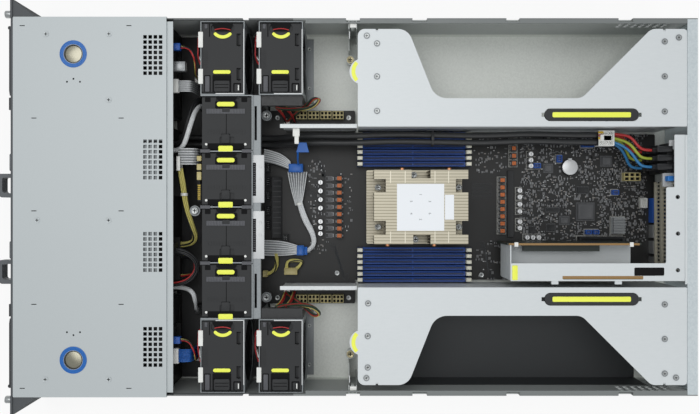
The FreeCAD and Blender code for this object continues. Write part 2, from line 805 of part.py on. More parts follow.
def fan_cage():
    pieces = []
    for side in (-1, 1):
        for depth in side_fan_depths:
            pieces.append(fan_sleeve(side * side_fan_x, depth))
    y0 = deep(fan_wall_front)
    y1 = deep(fan_wall_rear)
    edge = 2 * centre_fan_pitch
    thin = 0.6
    z1 = centre_fan_base + centre_fan_height + 1.2
    cage = [block(-edge, edge, y0, y1, cage_shelf_z, cage_shelf_z + wall)]
    for index in range(-2, 3):
        x = index * centre_fan_pitch
        foot = wall if index in (-2, 0, 2) else cage_shelf_z
        shift = thin * (index / 2)
        cage.append(block(x - shift - thin, x - shift + thin, y0, y1, foot, z1))
    for index in range(-2, 2):
        x = (index + 0.5) * centre_fan_pitch
        cage.append(block(x - centre_fan_pitch / 2 + 1.2, x + centre_fan_pitch / 2 - 1.2,
                          y1 - wall, y1, centre_fan_base + centre_fan_height - 3.0, z1))
    rail_low = y1
    rail_high = y1 + 9.0
    cage.append(block(-edge, edge, rail_low, rail_high, z1 - 4.0, z1 - 4.0 + wall))
    cage.append(block(-edge, edge, rail_high - wall, rail_high, z1 - 10.0, z1 - 4.0))
    for side in (-1, 1):
        x_values = sorted((side * (edge - 2.2), side * (edge - 8.2)))
        cage.append(block(x_values[0], x_values[1], rail_high - wall, rail_high, wall, z1 - 10.0))
    slots = []
    for index in range(-2, 2):
        x = (index + 0.5) * centre_fan_pitch
        slots.append(block(x - 20.0, x + 20.0, y1 + 1.8, y1 + 4.6, z1 - 4.0, z1 - 4.0 + wall))
    pieces.append(union(cage).cut(group(slots)))
    return group(pieces)


# Motherboard and what is soldered or plugged on it


def motherboard():
    wide = board_wide_half
    narrow = board_narrow_half
    corners = [(-wide, deep(board_front), 2.0), (wide, deep(board_front), 2.0), (wide, deep(board_step), 2.0),
               (narrow, deep(board_step), 0), (narrow, deep(board_rear), 2.0),
               (-narrow, deep(board_rear), 2.0), (-narrow, deep(board_step), 0),
               (-wide, deep(board_step), 2.0)]
    board = prism(corners, "z", board_under, board_top)
    holes = [rod(1.8, V(x, deep(depth), board_under), V(0, 0, 1), board_thick)
             for x, depth in board_screw_places()]
    return board.cut(group(holes))


def dimm_slots():
    """Slot body with its groove and the two end latches, six on each side of the processor."""
    y0 = deep(slot_front)
    y1 = deep(slot_rear)
    reach = slot_width / 2
    slots = []
    body = block(-reach, reach, y0 + latch_length, y1 - latch_length, board_top, board_top + slot_height)
    groove = block(-0.8, 0.8, y0 + latch_length + 3.0, y1 - latch_length - 3.0,
                   board_top + 4.0, board_top + slot_height)
    ends = []
    for low, high in ((y0, y0 + latch_length), (y1 - latch_length, y1)):
        ends.append(block(-2.4, 2.4, low, high, board_top, board_top + latch_height))
    slot = union([body.cut(groove)] + ends)
    for side in (-1, 1):
        for index in range(slots_per_side):
            slots.append(moved(slot, side * (slot_start_x + index * slot_pitch), 0, 0))
    return group(slots)


def sink_notches():
    """Left, right, front depth and rear depth of each opening over a heatsink screw."""
    return [(-33.3, -17.3, 421.0, 436.0), (16.3, 32.8, 421.0, 436.0), (-33.3, -17.3, 519.0, 535.0),
            (16.3, 32.8, 519.0, 535.0), (-45.0, -34.0, 466.5, 489.0), (33.0, 45.0, 468.5, 489.0)]


def sink_screws():
    return [(-24.0, 428.0), (24.5, 428.0), (-24.0, 527.5), (24.5, 527.5), (-39.5, 472.0), (39.8, 474.0)]


def cpu_heatsink():
    fin_base = sink_base_z + sink_base_thick
    base = rounded(-sink_half - 2.0, sink_half + 2.0, deep(sink_front - sink_lead), deep(sink_rear), 2.0,
                   "z", sink_base_z, fin_base)
    fins = block(-sink_half, sink_half, deep(sink_front), deep(sink_rear), fin_base, sink_top)
    count = int(round(2 * sink_half / fin_pitch))
    cuts = []
    for x in spaced(0.0, fin_pitch, count):
        reach = (fin_pitch - fin_thick) / 2
        cuts.append(block(x - reach, x + reach, deep(sink_front), deep(sink_rear),
                          fin_base + 0.8, sink_top - 0.8))
    for x0, x1, depth0, depth1 in sink_notches():
        cuts.append(block(x0, x1, deep(depth0), deep(depth1), fin_base, sink_top))
    return union([base, fins.cut(group(cuts))])


def chip(x, depth, width, length, height):
    y = deep(depth)
    return block(x - width / 2, x + width / 2, y - length / 2, y + length / 2, board_top, board_top + height)


def can(x, depth, radius, height):
    return rod(radius, V(x, deep(depth), board_top), V(0, 0, 1), height)


def regulator_front():
    """Row of chokes with their driver chips and capacitors ahead of the processor."""
    pieces = []
    for x in spaced(0.0, 9.0, 9):
        pieces.append(chip(x, 380.2, 7.0, 9.5, 8.0))
        pieces.append(chip(x, 367.0, 6.0, 8.5, 1.2))
    for x in (-31.0, -20.2, -9.3, 1.3, 18.2, 25.8, 33.4):
        pieces.append(can(x, 356.4, 3.2, 8.0))
    return pieces


def regulator_rear():
    pieces = []
    for x in spaced(-1.9, 9.1, 8):
        pieces.append(chip(x, 585.4, 7.0, 9.5, 8.0))
    for x in spaced(-69.2, 9.4, 4):
        pieces.append(chip(x, 600.0, 7.0, 9.0, 7.0))
    pieces.append(chip(-3.8, 596.5, 84.0, 8.0, 3.0))
    for x in (-20.8, -12.6, -3.5, 5.4, 18.3, 26.3):
        pieces.append(can(x, 607.0, 3.2, 8.0))
    for x in (-66.6, -58.9, -51.7):
        pieces.append(can(x, 621.0, 3.2, 8.0))
    for depth in (616.5, 623.6, 630.9):
        pieces.append(can(38.1, depth, 3.2, 8.0))
    return pieces


def processor_socket():
    middle = (sink_front + sink_rear) / 2
    frame = block(-32.0, 32.0, deep(middle - 46.0), deep(middle + 46.0), board_top, sink_base_z)
    return [frame]


def chips_rear():
    """Management chip, flash, clocks, network chip, small heatsink and expansion slot."""
    end = board_rear
    sink_body = chip(23.2, end - 47.8, 21.0, 16.5, 9.0)
    fins = [block(13.4 + index * 3.0, 15.4 + index * 3.0, deep(end - 56.8), deep(end - 38.8),
                  board_top + 3.0, board_top + 9.0) for index in range(7)]
    battery = can(-51.7, end - 108.6, 10.0, 4.6)
    holder = chip(-51.7, end - 108.6, 23.0, 12.0, 2.0)
    return [chip(5.9, end - 88.2, 23.7, 23.9, 2.2), chip(-58.0, end - 61.8, 14.1, 15.2, 2.0),
            chip(-21.2, end - 91.8, 9.5, 15.7, 2.2), union([sink_body.cut(group(fins))]),
            chip(41.4, end - 70.3, 8.4, 57.0, card_slot_height), chip(-49.0, end - 135.2, 12.0, 12.7, 1.2),
            chip(17.0, end - 114.8, 11.8, 13.6, 1.4), chip(26.2, end - 132.0, 10.3, 11.9, 1.2),
            chip(29.0, end - 155.8, 10.1, 9.4, 3.0), chip(3.6, end - 129.8, 6.3, 17.7, 1.2),
            union([battery, holder]), chip(-79.0, end - 86.8, 7.1, 14.6, 9.0),
            chip(-5.1, end - 15.8, 12.0, 7.3, 7.0), chip(-38.0, end - 31.8, 10.1, 20.3, 9.0)]


def headers():
    end = board_rear
    pieces = [chip(31.6, end - 85.6, 5.6, 7.3, 7.0), chip(31.6, end - 76.2, 5.6, 7.1, 7.0),
              chip(-60.8, end - 122.3, 9.0, 6.0, 7.0), chip(-52.0, end - 150.5, 6.0, 9.0, 7.0),
              chip(-18.5, end - 51.7, 6.0, 8.0, 7.0), chip(38.5, board_front + 31.0, 8.0, 8.0, 8.0)]
    for side in (-1, 1):
        for depth in spaced(359.8, 15.2, 4):
            pieces.append(chip(side * 115.0, depth - 4.0, 9.8, 13.6, 12.0))
    for x in spaced(-14.0, 18.0, 5):
        pieces.append(chip(x, board_front + 9.5, 12.0, 6.0, 9.0))
    return pieces


def rear_ports():
    """Metal-shelled sockets whose mouths reach into the rear panel's windows."""
    pieces = []
    for name, x, width, height in port_list:
        shell = block(x - width / 2, x + width / 2, deep(board_rear) - 8.0, rear_y - 0.4,
                      io_floor + 0.6, io_floor + height)
        mouth = rounded(x - width / 2 + 1.2, x + width / 2 - 1.2, io_floor + 2.2, io_floor + height - 1.6,
                        1.0, "y", rear_y - 8.4, rear_y - 0.4)
        foot = block(x - width / 2, x + width / 2, deep(board_rear) - 8.0, deep(board_rear) - 1.0,
                     io_floor, io_floor + 0.6)
        pieces.append(union([shell.cut(mouth), foot]))
    return pieces


def board_components():
    return group(processor_socket() + regulator_front() + regulator_rear() + chips_rear() + headers()
                 + rear_ports())


# Fasteners


def fasteners():
    screws = []
    for x, depth in ((-200.3, 41.5), (-200.3, 114.4), (-124.0, 114.0), (15.3, 31.2), (15.3, 114.0),
                     (199.7, 40.7), (199.7, 114.0)):
        screws.append(rod(3.3, V(x, deep(depth), cover_top), V(0, 0, 1), screw_head_proud))
    for x, depth in board_screw_places():
        head = rod(3.0, V(x, deep(depth), board_top), V(0, 0, 1), 1.8)
        shank = rod(1.5, V(x, deep(depth), board_under), V(0, 0, 1), board_thick)
        screws.append(union([head, shank]))
    fin_base = sink_base_z + sink_base_thick
    for x, depth in sink_screws():
        spring = rod(3.0, V(x, deep(depth), fin_base), V(0, 0, 1), 12.0)
        head = rod(3.9, V(x, deep(depth), fin_base + 12.0), V(0, 0, 1), 5.0)
        screws.append(union([spring, head]))
    for side in (-1, 1):
        x = side * (half_width + 9.0)
        knob = rod(4.4, V(x, front_y - 14.0, 68.0), V(0, 1, 0), 8.0)
        neck = rod(2.6, V(x, front_y - 6.0, 68.0), V(0, 1, 0), 3.0)
        collar = rod(4.4, V(x, front_y - 3.0, 68.0), V(0, 1, 0), 3.0)
        screws.append(union([knob, neck, collar]))
    return group(screws)


# Baffles, guides and liner


def air_baffles():
    """Upright sheet with a folded top flange on each side of the board."""
    inner = 92.4
    outer = 97.2
    profile = [(outer - 1.0, board_top, 0), (outer, board_top, 0), (outer, 80.0, 0.8), (inner, 80.0, 0),
               (inner, 79.0, 0), (outer - 1.0, 79.0, 0)]
    sheet = prism(profile, "y", deep(311.8), deep(cage_front) - 1.0)
    sleeve_face = side_fan_x - side_fan_width / 2 - 0.9 - fan_sheet
    start = deep(fan_wall_rear) + 9.6
    panel = union([block(sleeve_face - 12.0, sleeve_face, start, start + 48.0, 78.0, 79.2),
                   block(sleeve_face - 12.0, sleeve_face - 10.8, start, start + 48.0, 70.0, 79.2)])
    return group([sheet, mirror(sheet), panel, mirror(panel)])


def cage_guide():
    """Channel on the side wall ahead of the cage, with its latch and floor post."""
    x0 = cage_outer_x + 1.0
    y0 = deep(cage_front - 10.8)
    y1 = deep(cage_front - 1.0)
    channel = [(x0, y0, 0), (inner_half, y0, 0), (inner_half, y1, 0), (x0, y1, 0), (x0, y1 - 1.0, 0),
               (inner_half - 1.0, y1 - 1.0, 0), (inner_half - 1.0, y0 + 1.0, 0), (x0, y0 + 1.0, 0)]
    post = prism(channel, "z", wall, 82.0)
    latch = block(x0 + 0.5, inner_half - 1.0, y0 + 2.8, y0 + 6.6, 70.0, 80.0)
    foot = block(191.0, x0 + 0.5, y0, y0 + 1.0, wall, 40.0)
    stud = rod(4.0, V(184.0, y0 + 2.2, wall), V(0, 0, 1), 16.0)
    stud_head = rod(6.0, V(184.0, y0 + 2.2, wall + 16.0), V(0, 0, 1), 3.0)
    return [union([post, latch, foot]), union([stud, stud_head])]


def cage_guides():
    pieces = cage_guide()
    return group(pieces + [mirror(piece) for piece in pieces])


def lane_liner():
    thick = 0.4
    sheet = prism([(cage_inner_x + 6.0, wall, 0), (inner_half, wall, 0), (inner_half, 40.0, 0),
                   (inner_half - thick, 40.0, 0), (inner_half - thick, wall + thick, 0),
                   (cage_inner_x + 6.0, wall + thick, 0)], "y", deep(cage_front + 7.4), deep(cage_rear - 28.6))
    return sheet


# Accelerator cages


def cage_outline():
    notch = 2.6
    width = 1.4
    points = [(cage_inner_x, deep(cage_front), 1.0), (cage_outer_x, deep(cage_front), 8.0)]
    for depth in (cage_front + 22.2,):
        points += [(cage_outer_x, deep(depth) - width, 0), (cage_outer_x - notch, deep(depth) - width, 0),
                   (cage_outer_x - notch, deep(depth) + width, 0), (cage_outer_x, deep(depth) + width, 0)]
    points += [(cage_outer_x, deep(cutout_front_outer), 17.0), (cage_strip_x, deep(cutout_front_inner), 20.0),
               (cage_strip_x, deep(cutout_rear_inner), 15.0), (cage_outer_x, deep(cutout_rear_outer), 12.0)]
    for depth in (cage_rear - 26.3,):
        points += [(cage_outer_x, deep(depth) - width, 0), (cage_outer_x - notch, deep(depth) - width, 0),
                   (cage_outer_x - notch, deep(depth) + width, 0), (cage_outer_x, deep(depth) + width, 0)]
    points += [(cage_outer_x, deep(cage_rear), 4.0), (cage_inner_x, deep(cage_rear), 1.0)]
    return points


def gpu_cage(screws):
    """Right-hand cage; the left one is its mirror apart from the screws."""
    low = cage_top - wall
    plate = prism(cage_outline(), "z", low, cage_top)
    radius = ((tab_width / 2) ** 2 + tab_reach ** 2) / (2 * tab_reach)
    disc = rod(radius, V(tab_x, deep(cage_front) - tab_reach + radius, low), V(0, 0, 1), wall)
    tab = disc.common(block(tab_x - tab_width, tab_x + tab_width, deep(cage_front) - tab_reach,
                            deep(cage_front) + 1.0, low, cage_top))
    half_slot = strap_slot_width / 2
    slot = rounded(strap_x - half_slot, strap_x + half_slot, deep(strap_front), deep(strap_rear),
                   half_slot - 0.01, "z", low, cage_top)
    ends = block(strap_x - 2.4, strap_x + 2.4, deep(strap_front) - 3.0, deep(strap_rear) + 3.0,
                 low, cage_top)
    wall_x = cage_inner_x + cage_wall_inset
    foot = wall + seat_gap
    inner_wall = block(wall_x, wall_x + wall, deep(cage_front) + 1.0, deep(cage_rear), foot, low)
    rear_wall = block(wall_x, cage_outer_x - 1.0, deep(cage_rear) - wall, deep(cage_rear), foot, low)
    vents = []
    for row in range(4):
        z = foot + 11.0 + row * card_slot_pitch
        for x in spaced((cage_inner_x + cage_outer_x) / 2, 11.0, 9):
            vents.append(block(x - 4.0, x + 4.0, deep(cage_rear) - wall, deep(cage_rear),
                               z - 2.6, z + 2.6))
    leg_low = 62.0
    front_leg = block(cage_outer_x - 1.0 - wall, cage_outer_x - 1.0, deep(cage_front) + 12.0,
                      deep(cutout_front_outer) - 18.0, leg_low, low)
    rear_leg = block(cage_outer_x - 1.0 - wall, cage_outer_x - 1.0, deep(cutout_rear_outer) + 14.0,
                     deep(cage_rear) - 0.5, leg_low, low)
    edge_fold = prism([(cage_strip_x - wall, low - 4.0, 0), (cage_strip_x, low - 4.0, 0),
                       (cage_strip_x, low, 0), (cage_strip_x - wall, low, 0)],
                      "y", deep(cutout_front_inner) + 16.0, deep(cutout_rear_inner) - 12.0)
    body = union([plate.cut(group([slot, ends])), tab, inner_wall, rear_wall.cut(group(vents)),
                  front_leg, rear_leg, edge_fold])
    heads = [rod(3.0, V(x, deep(depth), cage_top), V(0, 0, 1), 0.5) for x, depth in screws]
    return union([body] + heads)


def left_cage_screws():
    rear = cage_rear - 26.0
    return [(198.7, 413.1), (189.8, 424.9), (151.4, 424.9), (111.4, 424.9), (192.0, rear),
            (196.6, rear + 16.4), (151.5, rear), (110.8, rear)]


def right_cage_screws():
    rear = cage_rear - 26.0
    return [(111.8, 414.5), (149.8, 414.1), (186.2, 414.1), (198.4, 412.6), (113.0, rear),
            (153.1, rear), (193.2, rear), (197.9, rear + 13.1)]


def strap_handle():
    """Bar in the cage's slot, with two legs whose feet stop it as it is pulled up."""
    half_bar = strap_slot_width / 2 - run_gap
    y0 = deep(strap_front) + run_gap
    y1 = deep(strap_rear) - run_gap
    top = cage_top + 0.4
    bar = rounded(strap_x - half_bar, strap_x + half_bar, y0, y1, half_bar - 0.01, "z", top - 3.0, top)
    pieces = [bar]
    foot_z = cage_top - wall - strap_travel - run_gap - 2.0
    for y, inward in ((y0 + 8.0, 1), (y1 - 8.0, -1)):
        pieces.append(block(strap_x - 4.0, strap_x + 4.0, y - 1.5, y + 1.5, foot_z, top - 3.0))
        pieces.append(block(strap_x - half_bar - 2.0, strap_x + half_bar + 2.0, y - 1.5, y + 1.5,
                            foot_z, foot_z + 2.0))
    return union(pieces)


# Riser bracket and its cards


def riser_at(share):
    return deep(riser_front + share * riser_length)


def riser_bracket():
    low = riser_top - wall
    y0 = deep(riser_front)
    y1 = deep(riser_rear)
    points = [(riser_left, y0, 1.0), (riser_right, y0, 1.0), (riser_right, y1, 1.0),
              (riser_arm_left - 61.0, y1, 1.0), (riser_arm_left - 61.0, y1 - 13.0, 1.0),
              (riser_arm_left, y1 - 13.0, 1.0), (riser_arm_left, deep(riser_arm_front), 2.0),
              (riser_left, deep(riser_arm_front), 2.0)]
    plate = prism(points, "z", low, riser_top)
    cuts = [block(81.0, 84.2, riser_at(0.3), riser_at(0.756), low, riser_top),
            block(71.5, 80.0, riser_at(0.707), riser_at(0.874), low, riser_top)]
    for x in (-11.6, 31.0, 73.5):
        cuts.append(rod(2.0, V(x, deep(riser_arm_front) + 13.0, low), V(0, 0, 1), wall))
    side_wall = block(riser_right - wall, riser_right, y0 + 1.0, riser_at(0.688), 30.0, low)
    card_face = card_x + card_thick
    end_wall = block(card_face, riser_right - wall, y0, y0 + wall, 30.0, low)
    low_sheet = block(card_face, riser_right - wall, y0 + wall, riser_at(0.756), 46.0, 46.0 + wall)
    hook = block(riser_right, riser_right + 4.0, riser_at(0.236), riser_at(0.275), low - 3.0, low)
    hook_rear = block(riser_right, riser_right + 4.0, riser_at(0.599), riser_at(0.638), low - 3.0, low)
    lip = block(riser_arm_left, riser_right - 8.0, y1 - wall, y1, low - 6.0, low)
    return union([plate.cut(group(cuts)), side_wall, end_wall, low_sheet, hook, hook_rear, lip])


def riser_cards():
    """Two upright cards with their card connectors."""
    face = card_x + card_thick
    start = deep(riser_front)
    inner = block(card_x, face, start - 3.0, riser_at(0.756), board_top + card_slot_height + seat_gap,
                  80.0)
    socket_a = block(face, face + 8.2, riser_at(0.098), riser_at(0.54), 58.0, 66.0)
    strip = block(face, face + 2.0, riser_at(0.02), riser_at(0.196), 36.0, 45.0)
    outer = block(81.6, 83.4, riser_at(0.319), riser_at(0.737), 47.8, riser_top - wall)
    socket_b = block(73.0, 81.6, riser_at(0.344), riser_at(0.688), 62.0, 70.0)
    return group([union([inner, socket_a, strip]), union([outer, socket_b])])


# Mains inlets and cables


def ac_inlets():
    """Snap-in sockets: body through the panel, flange outside it and three blades inside."""
    pieces = []
    for centre in inlet_centres:
        x0 = inlet_x - inlet_width / 2
        x1 = inlet_x + inlet_width / 2
        z0 = centre - inlet_height / 2
        z1 = centre + inlet_height / 2
        body = rounded(x0, x1, z0, z1, 2.0, "y", rear_y - inlet_length, rear_y - 0.2)
        mouth = rounded(x0 + 3.0, x1 - 3.0, z0 + 3.0, z1 - 3.0, 4.0, "y", rear_y - 16.0, rear_y - 0.2)
        pins = [block(inlet_x + dx - 1.0, inlet_x + dx + 1.0, rear_y - 16.0, rear_y - 3.0,
                      centre - 3.0 + dz, centre + 3.0 + dz) for dx, dz in ((-7.0, -1.5), (0.0, 2.0), (7.0, -1.5))]
        flange = block(x0 - 1.5, x1 + 1.5, rear_y - inlet_length - 6.0, rear_y - inlet_length,
                       z0 + 1.0, z1 - 1.0)
        ends = [rounded(inlet_x + dx - 3.0, inlet_x + dx + 3.0, centre - 4.0, centre + 4.0, 1.0, "y",
                        rear_y - inlet_length - 20.0, rear_y - inlet_length - 6.0) for dx in (-10.0, 0.0, 10.0)]
        latch = block(x0 + 4.0, x1 - 4.0, rear_y - inlet_length, rear_y - wall - 4.0, z1, z1 + 0.8)
        pieces.append(union([body.cut(mouth), flange, latch] + pins + ends))
    return group(pieces)


def mains_route(x, z):
    """Rear plug to the front supplies: along the board edge, then under the centre fans."""
    turn = board_front + 37.0
    run = mains_plug - turn
    along = [(1.0, 0.0, 0.0), (0.915, 0.0, 0.0), (0.782, -1.5, 1.0), (0.633, 1.0, -0.5), (0.484, 0.0, 0.5),
             (0.338, -1.0, -1.0), (0.197, 1.0, -2.0), (0.085, 0.0, -5.0), (0.0, 1.0, -16.0)]
    route = [(x + sway, deep(turn + share * run), z + rise) for share, sway, rise in along]
    return route + [
            (x + 1.5, deep(299.0), 16.0), (x + 0.5, deep(278.0), 13.4), (x + 1.0, deep(256.0), 9.4),
            (x + 0.6, deep(230.0), 8.8), (x, deep(207.0), 10.0), (x, deep(mains_end), 10.0)]


def ac_cables():
    pieces = [tube(mains_diameter, mains_route(x, cable_z)) for x in cable_x]
    low_x = min(cable_x) - 4.6
    high_x = max(cable_x) + 4.6
    front = deep(mains_plug)
    plug = rounded(low_x, high_x, front, front + 19.0, 1.5, "z", cable_z - 7.0, cable_z + 7.0)
    latch = block(low_x + 6.0, high_x - 6.0, front + 6.0, front + 16.0, cable_z + 7.0, cable_z + 8.6)
    return group(pieces + [union([plug, latch])])


def inlet_leads():
    """Three cores from the plug to the blades of each inlet."""
    leads = []
    start = deep(mains_plug) + 19.0
    end = rear_y - inlet_length - 20.0
    for level, centre in enumerate(reversed(inlet_centres)):
        for index, dx in enumerate((-10.0, 0.0, 10.0)):
            x0 = min(cable_x) - 1.0 + index * 5.0
            z0 = cable_z + 4.0 - level * 8.0
            x1 = inlet_x + dx
            sway = 4.0 * index + 2.0 * level
            leads.append(tube(wire_diameter, [(x0, start, z0), (x0, start + 7.0, z0),
                                              (x0 + 4.0 + sway, start + 18.0, (z0 + centre) / 2 + 3.0),
                                              (x1, end - 9.0, centre), (x1, end, centre)]))
    return leads


def bundle(points, diameter=bundle_diameter):
    return tube(diameter, points)


def side_fan_leads():
    """Per side: the front fan's lead down to its floor socket and the rear fan's loop to the board."""
    pieces = []
    for side in (-1, 1):
        x = side * side_fan_x
        pieces.append(bundle([(x - 16.0, lane(0.345), 68.0), (x - 16.0, lane(0.56), 68.0),
                              (x - 6.0, lane(0.74), 72.0), (x + 6.0, lane(0.74), 62.0),
                              (x + 14.0, lane(0.62), 42.0), (x + 14.0, lane(0.62), 24.0)], wire_diameter))
        pieces.append(block(x + 10.0, x + 18.0, lane(0.52), lane(0.72), wall, 24.0))
        pieces.append(block(x - 20.0, x - 12.0, lane(0.0), lane(0.345), 64.0, 72.0))
    face = side_fan_x - side_fan_width / 2 - 0.9 - fan_sheet
    rear = deep(board_front)
    loop = [(face, rear + 19.0, 44.0), (face - 9.0, rear + 19.0, 44.0), (face - 11.5, rear + 42.0, 38.0),
            (face - 9.0, rear + 66.0, 35.0), (face + 2.0, rear + 77.0, 33.0), (face + 4.5, rear + 68.0, 31.0),
            (face - 6.0, rear + 58.0, 29.0), (face - 16.0, rear + 43.0, 25.0), (108.0, rear + 34.0, 16.0),
            (108.0, rear + 33.0, 12.0)]
    lead = union([bundle(loop, 5.0), block(104.5, 111.5, rear + 29.5, rear + 36.5, board_top, 14.0)])
    return pieces + [mirror(lead), lead]


def ribbon(corners, low, high):
    """Flat cable seen from above, its corners eased."""
    return prism(corners, "z", low, high)


def board_ribbons():
    """Behind the fan wall: two plugs on the board joined by a flat cable, with ribbons to the front."""
    front = deep(fan_wall_rear)
    board = deep(board_front)
    plug_a = block(-54.0, -42.7, board + 36.0, board + 53.6, board_top, 20.0)
    plug_b = block(50.0, 60.0, board + 39.0, board + 59.0, board_top, 20.0)
    fan_shape = ribbon([(-44.0, board + 34.7, 0), (-2.0, board + 43.5, 3.0), (-2.0, board + 53.5, 3.0),
                        (-44.0, board + 58.3, 0)], 15.6, 18.4)
    neck = bundle([(-5.0, board + 48.5, 17.0), (12.0, board + 52.0, 17.0), (36.0, board + 66.5, 17.0),
                   (52.0, board + 66.5, 16.0), (56.0, board + 55.0, 15.0)], 5.0)
    upper = ribbon([(-72.0, front + 5.7, 2.0), (-57.0, front + 5.7, 2.0), (-48.0, board + 38.0, 2.0),
                    (-52.0, board + 46.0, 2.0), (-64.0, board + 36.0, 6.0)], 18.8, 21.4)
    lower = ribbon([(42.0, front + 5.7, 2.0), (60.0, front + 5.7, 2.0), (61.0, board + 50.0, 2.0),
                    (50.0, board + 54.0, 2.0), (43.0, board + 36.0, 6.0)], 18.8, 21.4)
    curl = bundle([(58.0, board + 20.0, 20.0), (66.0, board + 21.0, 17.0), (76.0, board + 20.0, 14.0),
                   (84.0, board + 13.0, 12.6), (84.0, board + 7.0, 12.6)])
    curl_plug = block(80.0, 88.0, board + 3.0, board + 9.0, board_top, 17.0)
    return [union([plug_a, fan_shape, upper, neck, plug_b, lower, curl, curl_plug])]


def supply_bundle():
    """Thick bundle that loops out of its board socket and back."""
    board = deep(board_front)
    socket = block(76.4, 85.0, board + 30.0, board + 46.4, board_top, 19.0)
    loop = bundle([(79.0, board + 33.0, 15.0), (69.0, board + 31.5, 15.0), (66.5, board + 43.0, 15.0),
                   (69.0, board + 56.0, 15.0), (79.0, board + 43.5, 15.0)], 5.0)
    return [union([socket, loop])]


def lane_bundles():
    """Ahead of the fan wall: bundles from the supply backplane to each side and between its sockets."""
    face = lane(0.0)
    low_socket = lane(0.0) + 7.02
    high_socket = lane(0.0) + 8.02
    floor_block = block(-139.0, -119.0, lane(0.69), lane(0.91), wall, 24.0)
    black = bundle([(-76.0, face, 50.0), (-76.0, lane(0.22), 50.0), (-84.0, lane(0.39), 52.0),
                    (-104.0, lane(0.52), 55.0), (-124.0, lane(0.64), 50.0), (-132.0, lane(0.74), 38.0),
                    (-133.0, lane(0.77), 22.0)], 8.0)
    silver = bundle([(-67.0, face, 62.0), (-67.0, lane(0.27), 62.0), (-76.0, lane(0.44), 63.0),
                     (-96.0, lane(0.59), 64.0), (-114.0, lane(0.71), 60.0), (-124.0, lane(0.81), 46.0),
                     (-124.0, lane(0.83), 22.0)])
    plug = block(-60.0, -43.0, high_socket, lane(0.345), 58.0, 72.0)
    band = union([plug, block(-69.0, -51.0, lane(0.27), lane(0.86), 66.0, 68.6),
                  block(-69.0, -51.0, lane(0.8), lane(0.86), 34.0, 68.6)])
    yellow = bundle([(-46.0, lane(0.3), 63.0), (-30.0, lane(0.36), 61.0), (0.0, lane(0.42), 55.0),
                     (25.0, lane(0.59), 50.0), (38.0, lane(0.66), 42.0), (46.0, lane(0.45), 36.0),
                     (46.0, low_socket, 36.0)], 7.0)
    loop = bundle([(60.0, low_socket, 36.0), (60.0, lane(0.42), 36.0), (67.0, lane(0.71), 48.0),
                   (80.0, lane(0.74), 48.0), (86.0, lane(0.42), 36.0), (86.0, low_socket, 36.0)], 7.0)
    upper_loop = bundle([(52.0, high_socket, 65.0), (52.0, lane(0.42), 65.0), (63.0, lane(0.76), 62.0),
                         (78.0, lane(0.78), 60.0), (92.0, lane(0.42), 60.0), (92.0, face, 60.0)], 7.0)
    right_block = block(122.0, 134.0, lane(0.5), lane(0.74), wall, 24.0)
    right = bundle([(97.0, face, 46.0), (97.0, lane(0.27), 46.0), (102.0, lane(0.6), 50.0),
                    (114.0, lane(0.68), 50.0), (126.0, lane(0.63), 38.0), (128.0, lane(0.62), 22.0)])
    return [union([floor_block, black, silver]), union([band, yellow]), loop, upper_loop,
            union([right_block, right])]


def lane_plugs():
    """Flat-cable plugs on the drive backplanes, their cables turned down towards the floor."""
    pieces = [block(-172.0, -161.0, lane(0.0), lane(0.49), 61.0, 71.0)]
    for x0, x1, height in ((-152.0, -136.0, 64.0), (168.0, 186.0, 64.0)):
        plug = block(x0, x1, lane(0.0), lane(0.27), height - 3.0, height + 3.0)
        flat = block(x0 + 2.0, x1 - 2.0, lane(0.2), lane(0.7), height - 1.2, height + 1.2)
        drop = block(x0 + 2.0, x1 - 2.0, lane(0.64), lane(0.7), 34.0, height + 1.2)
        pieces.append(union([plug, flat, drop]))
    return pieces


def wiring():
    """Inner harness; each bundle starts and ends in a connector."""
    return group(side_fan_leads() + board_ribbons() + supply_bundle() + lane_bundles() + lane_plugs()
                 + inlet_leads())


